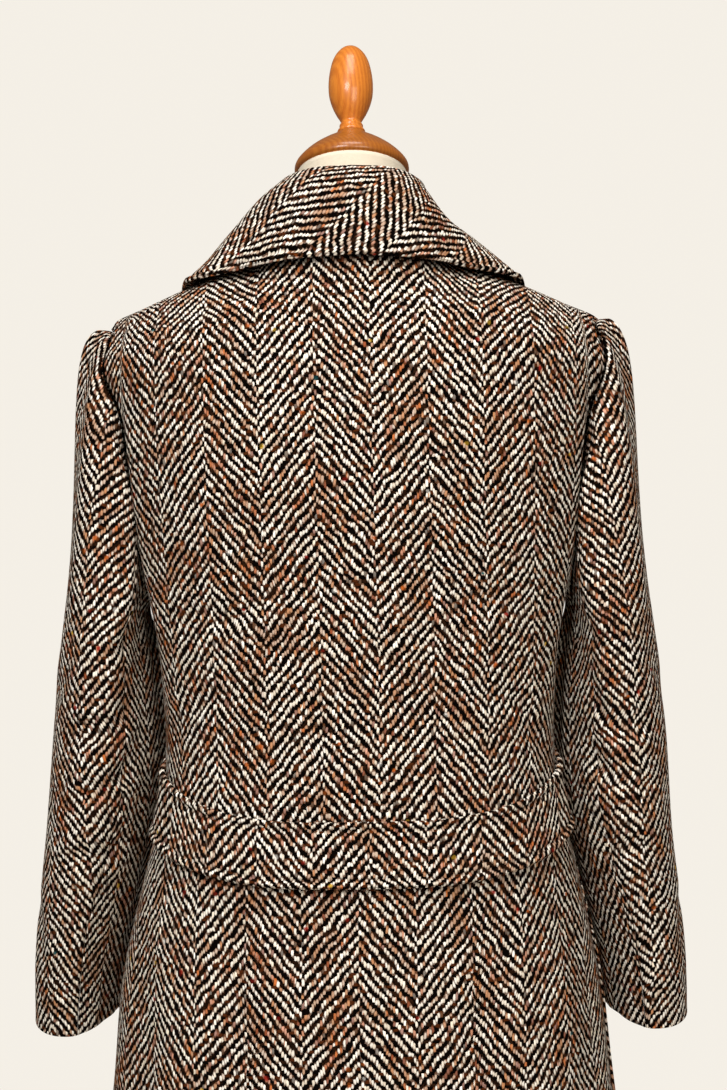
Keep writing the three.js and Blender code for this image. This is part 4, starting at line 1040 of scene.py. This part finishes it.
for side, mirror in (("left", False), ("right", True)):
    for kind, start, stop, cols, zero in (
        ("top", lambda z: 0 * z + FRONT_SEAM_ANGLE + GAP_ANGLE, lambda z: elbow(z) - GAP_ANGLE, 81, 0.0),
        ("under", lambda z: elbow(z) + GAP_ANGLE, lambda z: 0 * z + 360 + FRONT_SEAM_ANGLE - GAP_ANGLE, 49, 180.0),
    ):
        P, N, angle, t = sleeve_grid(start, stop, cols, mirror)
        u, v = sleeve_uv(P, N, angle, t, zero)
        size = (float(np.ptp(u)), float(np.ptp(v)))
        if mirror:
            u = u + 0.012 + 0.003
        else:
            u = u + 0.012 - through([760, 830, 896, 988, 1121, 1300], [0.023, 0.021, 0.010, -0.004, -0.010, -0.012], P[..., 2])
        shell(f"cloth_sleeve_{kind}_{side}", P, N, np.stack([u, v], -1), CLOTH, [f"sleeve_{kind}_{side}"], TWEED, mirror=mirror)

# ================================================================ the form: torso, neck, turned wood
def solid(name, o, node, material):
    o.data.materials.append(material)
    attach(o, ROOT)
    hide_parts(node)


def closed_rings(name, rows):
    """rows (R, S, 3) of closed rings, with a flat fan of quads at both ends through shrunken rings."""
    R, S = rows.shape[:2]
    first, last = rows[0].mean(0), rows[-1].mean(0)
    all_rows = [mix(first, rows[0], 0.02)] + [rows[0]] + list(rows[1:-1]) + [rows[-1]] + [mix(last, rows[-1], 0.02)]
    V = np.array(all_rows)
    K = len(V)
    idx = np.arange(K * S).reshape(K, S)
    quads = np.stack([idx[:-1], np.roll(idx, -1, 1)[:-1], np.roll(idx, -1, 1)[1:], idx[1:]], -1).reshape(-1, 4)
    half = S // 2
    caps = []
    for r, flip in ((0, True), (K - 1, False)):
        ring_ = idx[r]
        for k in range(half - 1):
            q = [ring_[k], ring_[k + 1], ring_[S - 2 - k], ring_[S - 1 - k]]
            caps.append(q[::-1] if flip else q)
    return V.reshape(-1, 3), np.concatenate([quads, np.array(caps)])


S = 128
za = np.concatenate([np.linspace(770, 784, 12)[:-1], np.linspace(784, 1300, 80)[:-1], np.linspace(1300, 1472, 60)])
ang = np.arange(S) / S * 2 * np.pi
half, back_, fore, lean = (through(TORSO[:, 0], TORSO[:, k], za)[:, None] for k in range(1, 5))
c, s = np.cos(ang)[None, :], np.sin(ang)[None, :]
y = np.where(c > 0, back_, fore) * c
rows = np.stack([half * s, y, za[:, None] + y * lean], -1)
V, Q = closed_rings("torso", rows)
solid("form_linen", add_mesh("form_linen", V, Q), "form_torso", LINEN)


def turned(name, profile, node, sides=96, tilted=False, soft=2):
    pts = np.array(profile, float)
    if tilted:
        keep = pts[(pts[:, 0] > 0.05)]
        if pts[-1, 0] == 0 and pts[-1, 1] > pts[-2, 1]:  # the finial's round top
            keep = np.vstack([keep, [0.0, pts[-1, 1]]])
        run = np.concatenate([[0], np.cumsum(np.linalg.norm(np.diff(keep, axis=0), axis=1))])
        at = np.unique(np.concatenate([np.linspace(0, run[-1], 110), run]))
        pts = np.stack([through(run, keep[:, 0], at), through(run, keep[:, 1], at)], -1)
        pts[:, 0] = np.maximum(pts[:, 0], 0.15)
    else:
        for _ in range(soft):
            new = [pts[0]]
            for a, b in zip(pts[:-1], pts[1:]):
                new += [mix(a, b, 0.25), mix(a, b, 0.75)]
            new.append(pts[-1])
            pts = np.array(new)
        pts = pts[(pts[:, 0] > 0.05)]
    a = np.arange(sides) / sides * 2 * np.pi
    rows = np.stack([pts[:, [0]] * np.cos(a)[None, :], pts[:, [0]] * np.sin(a)[None, :], pts[:, [1]] + 0 * a[None, :]], -1)
    V, Q = closed_rings(name, rows)
    if tilted:
        rot = np.array(Matrix.Rotation(CAP_TILT, 3, "X"))
        V = V @ rot.T + np.array([0, 0, TORSO[-1, 0] + 0.35])
    # the neck cap, pole and base take the wood darkened as painted shade
    solid(name, add_mesh(name, V, Q), node, WOOD if node == "form_finial" else SHADED_WOOD)


turned("wood_neck_cap", CAP, "form_neck_cap", tilted=True)
turned("wood_finial", FINIAL, "form_finial", tilted=True)
turned("wood_pole", POLE, "form_pole", sides=64, soft=1)
turned("wood_base", BASE, "form_base", sides=128, soft=1)

def button(k):
    """A button with a raised rim, four holes and a cross of thread, where the CAD part has its plain one."""
    node = f"button_{k}"
    V = np.array([v.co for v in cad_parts[node].data.vertices], float).reshape(-1, 3) * 1000
    middle = V.mean(0)
    axis = np.linalg.svd(V - middle, full_matrices=False)[2][2]
    axis = axis if axis[1] < 0 else -axis
    side = unit(np.cross(axis, [0, 0, 1.0]))
    up = np.cross(side, axis)
    reach = (V - middle) @ axis
    deep, r = np.ptp(reach), float(np.max(np.linalg.norm(V - middle - reach[:, None] * axis, axis=1)))
    s_, t_ = 2.0 * deep / 6.5, 4.5 * deep / 6.5
    profile = [(4, 0.02), (4, s_), (r - 3, s_), (r - 1.2, s_ + 0.3), (r - 0.3, s_ + 0.9), (r, s_ + 1.9), (r, s_ + t_ - 1.6), (r - 0.3, s_ + t_ - 0.7),
               (r - 1.0, s_ + t_ - 0.15), (r - 1.9, s_ + t_), (r - 2.9, s_ + t_ - 0.25), (r - 3.8, s_ + t_ - 0.9), (r - 4.7, s_ + t_ - 1.3)]
    profile += [(q, s_ + t_ - 1.35) for q in np.linspace(r - 5.4, 0.25, 30)]
    profile = np.array(profile)
    a = np.arange(72) / 72 * 2 * np.pi
    x, y = profile[:, [0]] * np.cos(a), profile[:, [0]] * np.sin(a)
    h = profile[:, [1]] + 0 * a
    face = (np.arange(len(profile)) > 12)[:, None]
    hole = sum(np.exp(-((np.hypot(x - sx * 2.5, y - sy * 2.5) / 1.15) ** 4)) for sx in (-1, 1) for sy in (-1, 1))
    far = np.hypot(x, y)
    thread = np.maximum(np.exp(-(((x - y) / 1.15) ** 4)), np.exp(-(((x + y) / 1.15) ** 4))) * smooth(4.1, 3.1, far)
    h = h + np.where(face, -1.7 * hole * (1 - 0.8 * thread) + 0.95 * thread, 0)
    low = middle + axis * float(reach.min())
    rows_ = low + x[..., None] * side + y[..., None] * up + h[..., None] * axis
    V, Q = closed_rings(node, rows_)
    solid(f"horn_{node}", add_mesh(f"horn_{node}", V, Q), node, HORN)


for k in range(BUTTON_COUNT):
    button(k + 1)

# ================================================================ floor, light, camera
floor = bpy.data.meshes.new("floor")
ring_pts = [(1.45 * math.cos(a), 1.45 * math.sin(a), 0) for a in np.linspace(0, 2 * math.pi, 97)[:-1]]
floor.from_pydata(ring_pts, [], [list(range(96))])
floor_obj = bpy.data.objects.new("floor", floor)
scene.collection.objects.link(floor_obj)
fm = bpy.data.materials.new("floor")
fm.use_nodes = True
fm.node_tree.nodes["Principled BSDF"].inputs["Base Color"].default_value = (0.80, 0.77, 0.70, 1)
fm.node_tree.nodes["Principled BSDF"].inputs["Roughness"].default_value = 0.9
floor.materials.append(fm)

cam = bpy.data.objects.new("camera", bpy.data.cameras.new("camera"))
scene.collection.objects.link(cam)
cam.location = (-0.0056, 1.5, 1.150)
cam.rotation_euler = (math.radians(90), 0, math.radians(180))
cam.rotation_euler.rotate_axis("Z", math.radians(-0.8))
cam.data.sensor_fit = "HORIZONTAL"
cam.data.sensor_width = 36
cam.data.lens = 36 * 1724 / 727
cam.data.clip_start, cam.data.clip_end = 0.05, 50
scene.camera = cam

for name, loc, size, power, tone in (
    ("key", (0.95, 2.6, 2.7), 1.0, 62, (1.0, 0.985, 0.97)),
    ("fill", (-0.95, 2.8, 1.9), 1.4, 38, (1.0, 0.92, 0.82)),
    ("front_key", (-1.6, -2.4, 2.6), 1.5, 54, (1.0, 0.985, 0.97)),
    ("front_fill", (2.0, -2.2, 1.6), 2.2, 26, (1.0, 0.95, 0.88)),
    ("top", (0, 0.9, 3.2), 1.0, 26, (1.0, 0.98, 0.96)),
):
    light = bpy.data.lights.new(name, "AREA")
    light.size, light.energy, light.color = size, power, tone
    o = bpy.data.objects.new(name, light)
    scene.collection.objects.link(o)
    o.location = loc
    o.rotation_euler = (Vector((0, 0, 1.05)) - Vector(loc)).to_track_quat("-Z", "Y").to_euler()
    o.visible_glossy = not name.startswith("front")

world = bpy.data.worlds.new("studio")
scene.world = world
world.use_nodes = True
wt = world.node_tree
bg = wt.nodes["Background"]
bg.inputs[0].default_value = (0.95, 0.93, 0.90, 1)
bg.inputs[1].default_value = 0.13
seen = wt.nodes.new("ShaderNodeBackground")
seen.inputs[0].default_value = (0.909, 0.866, 0.792, 1)
path, mixer = wt.nodes.new("ShaderNodeLightPath"), wt.nodes.new("ShaderNodeMixShader")
wt.links.new(path.outputs["Is Camera Ray"], mixer.inputs[0])
wt.links.new(bg.outputs[0], mixer.inputs[1])
wt.links.new(seen.outputs[0], mixer.inputs[2])
wt.links.new(mixer.outputs[0], wt.nodes["World Output"].inputs[0])
scene.view_settings.view_transform = "Standard"

bpy.context.view_layer.update()
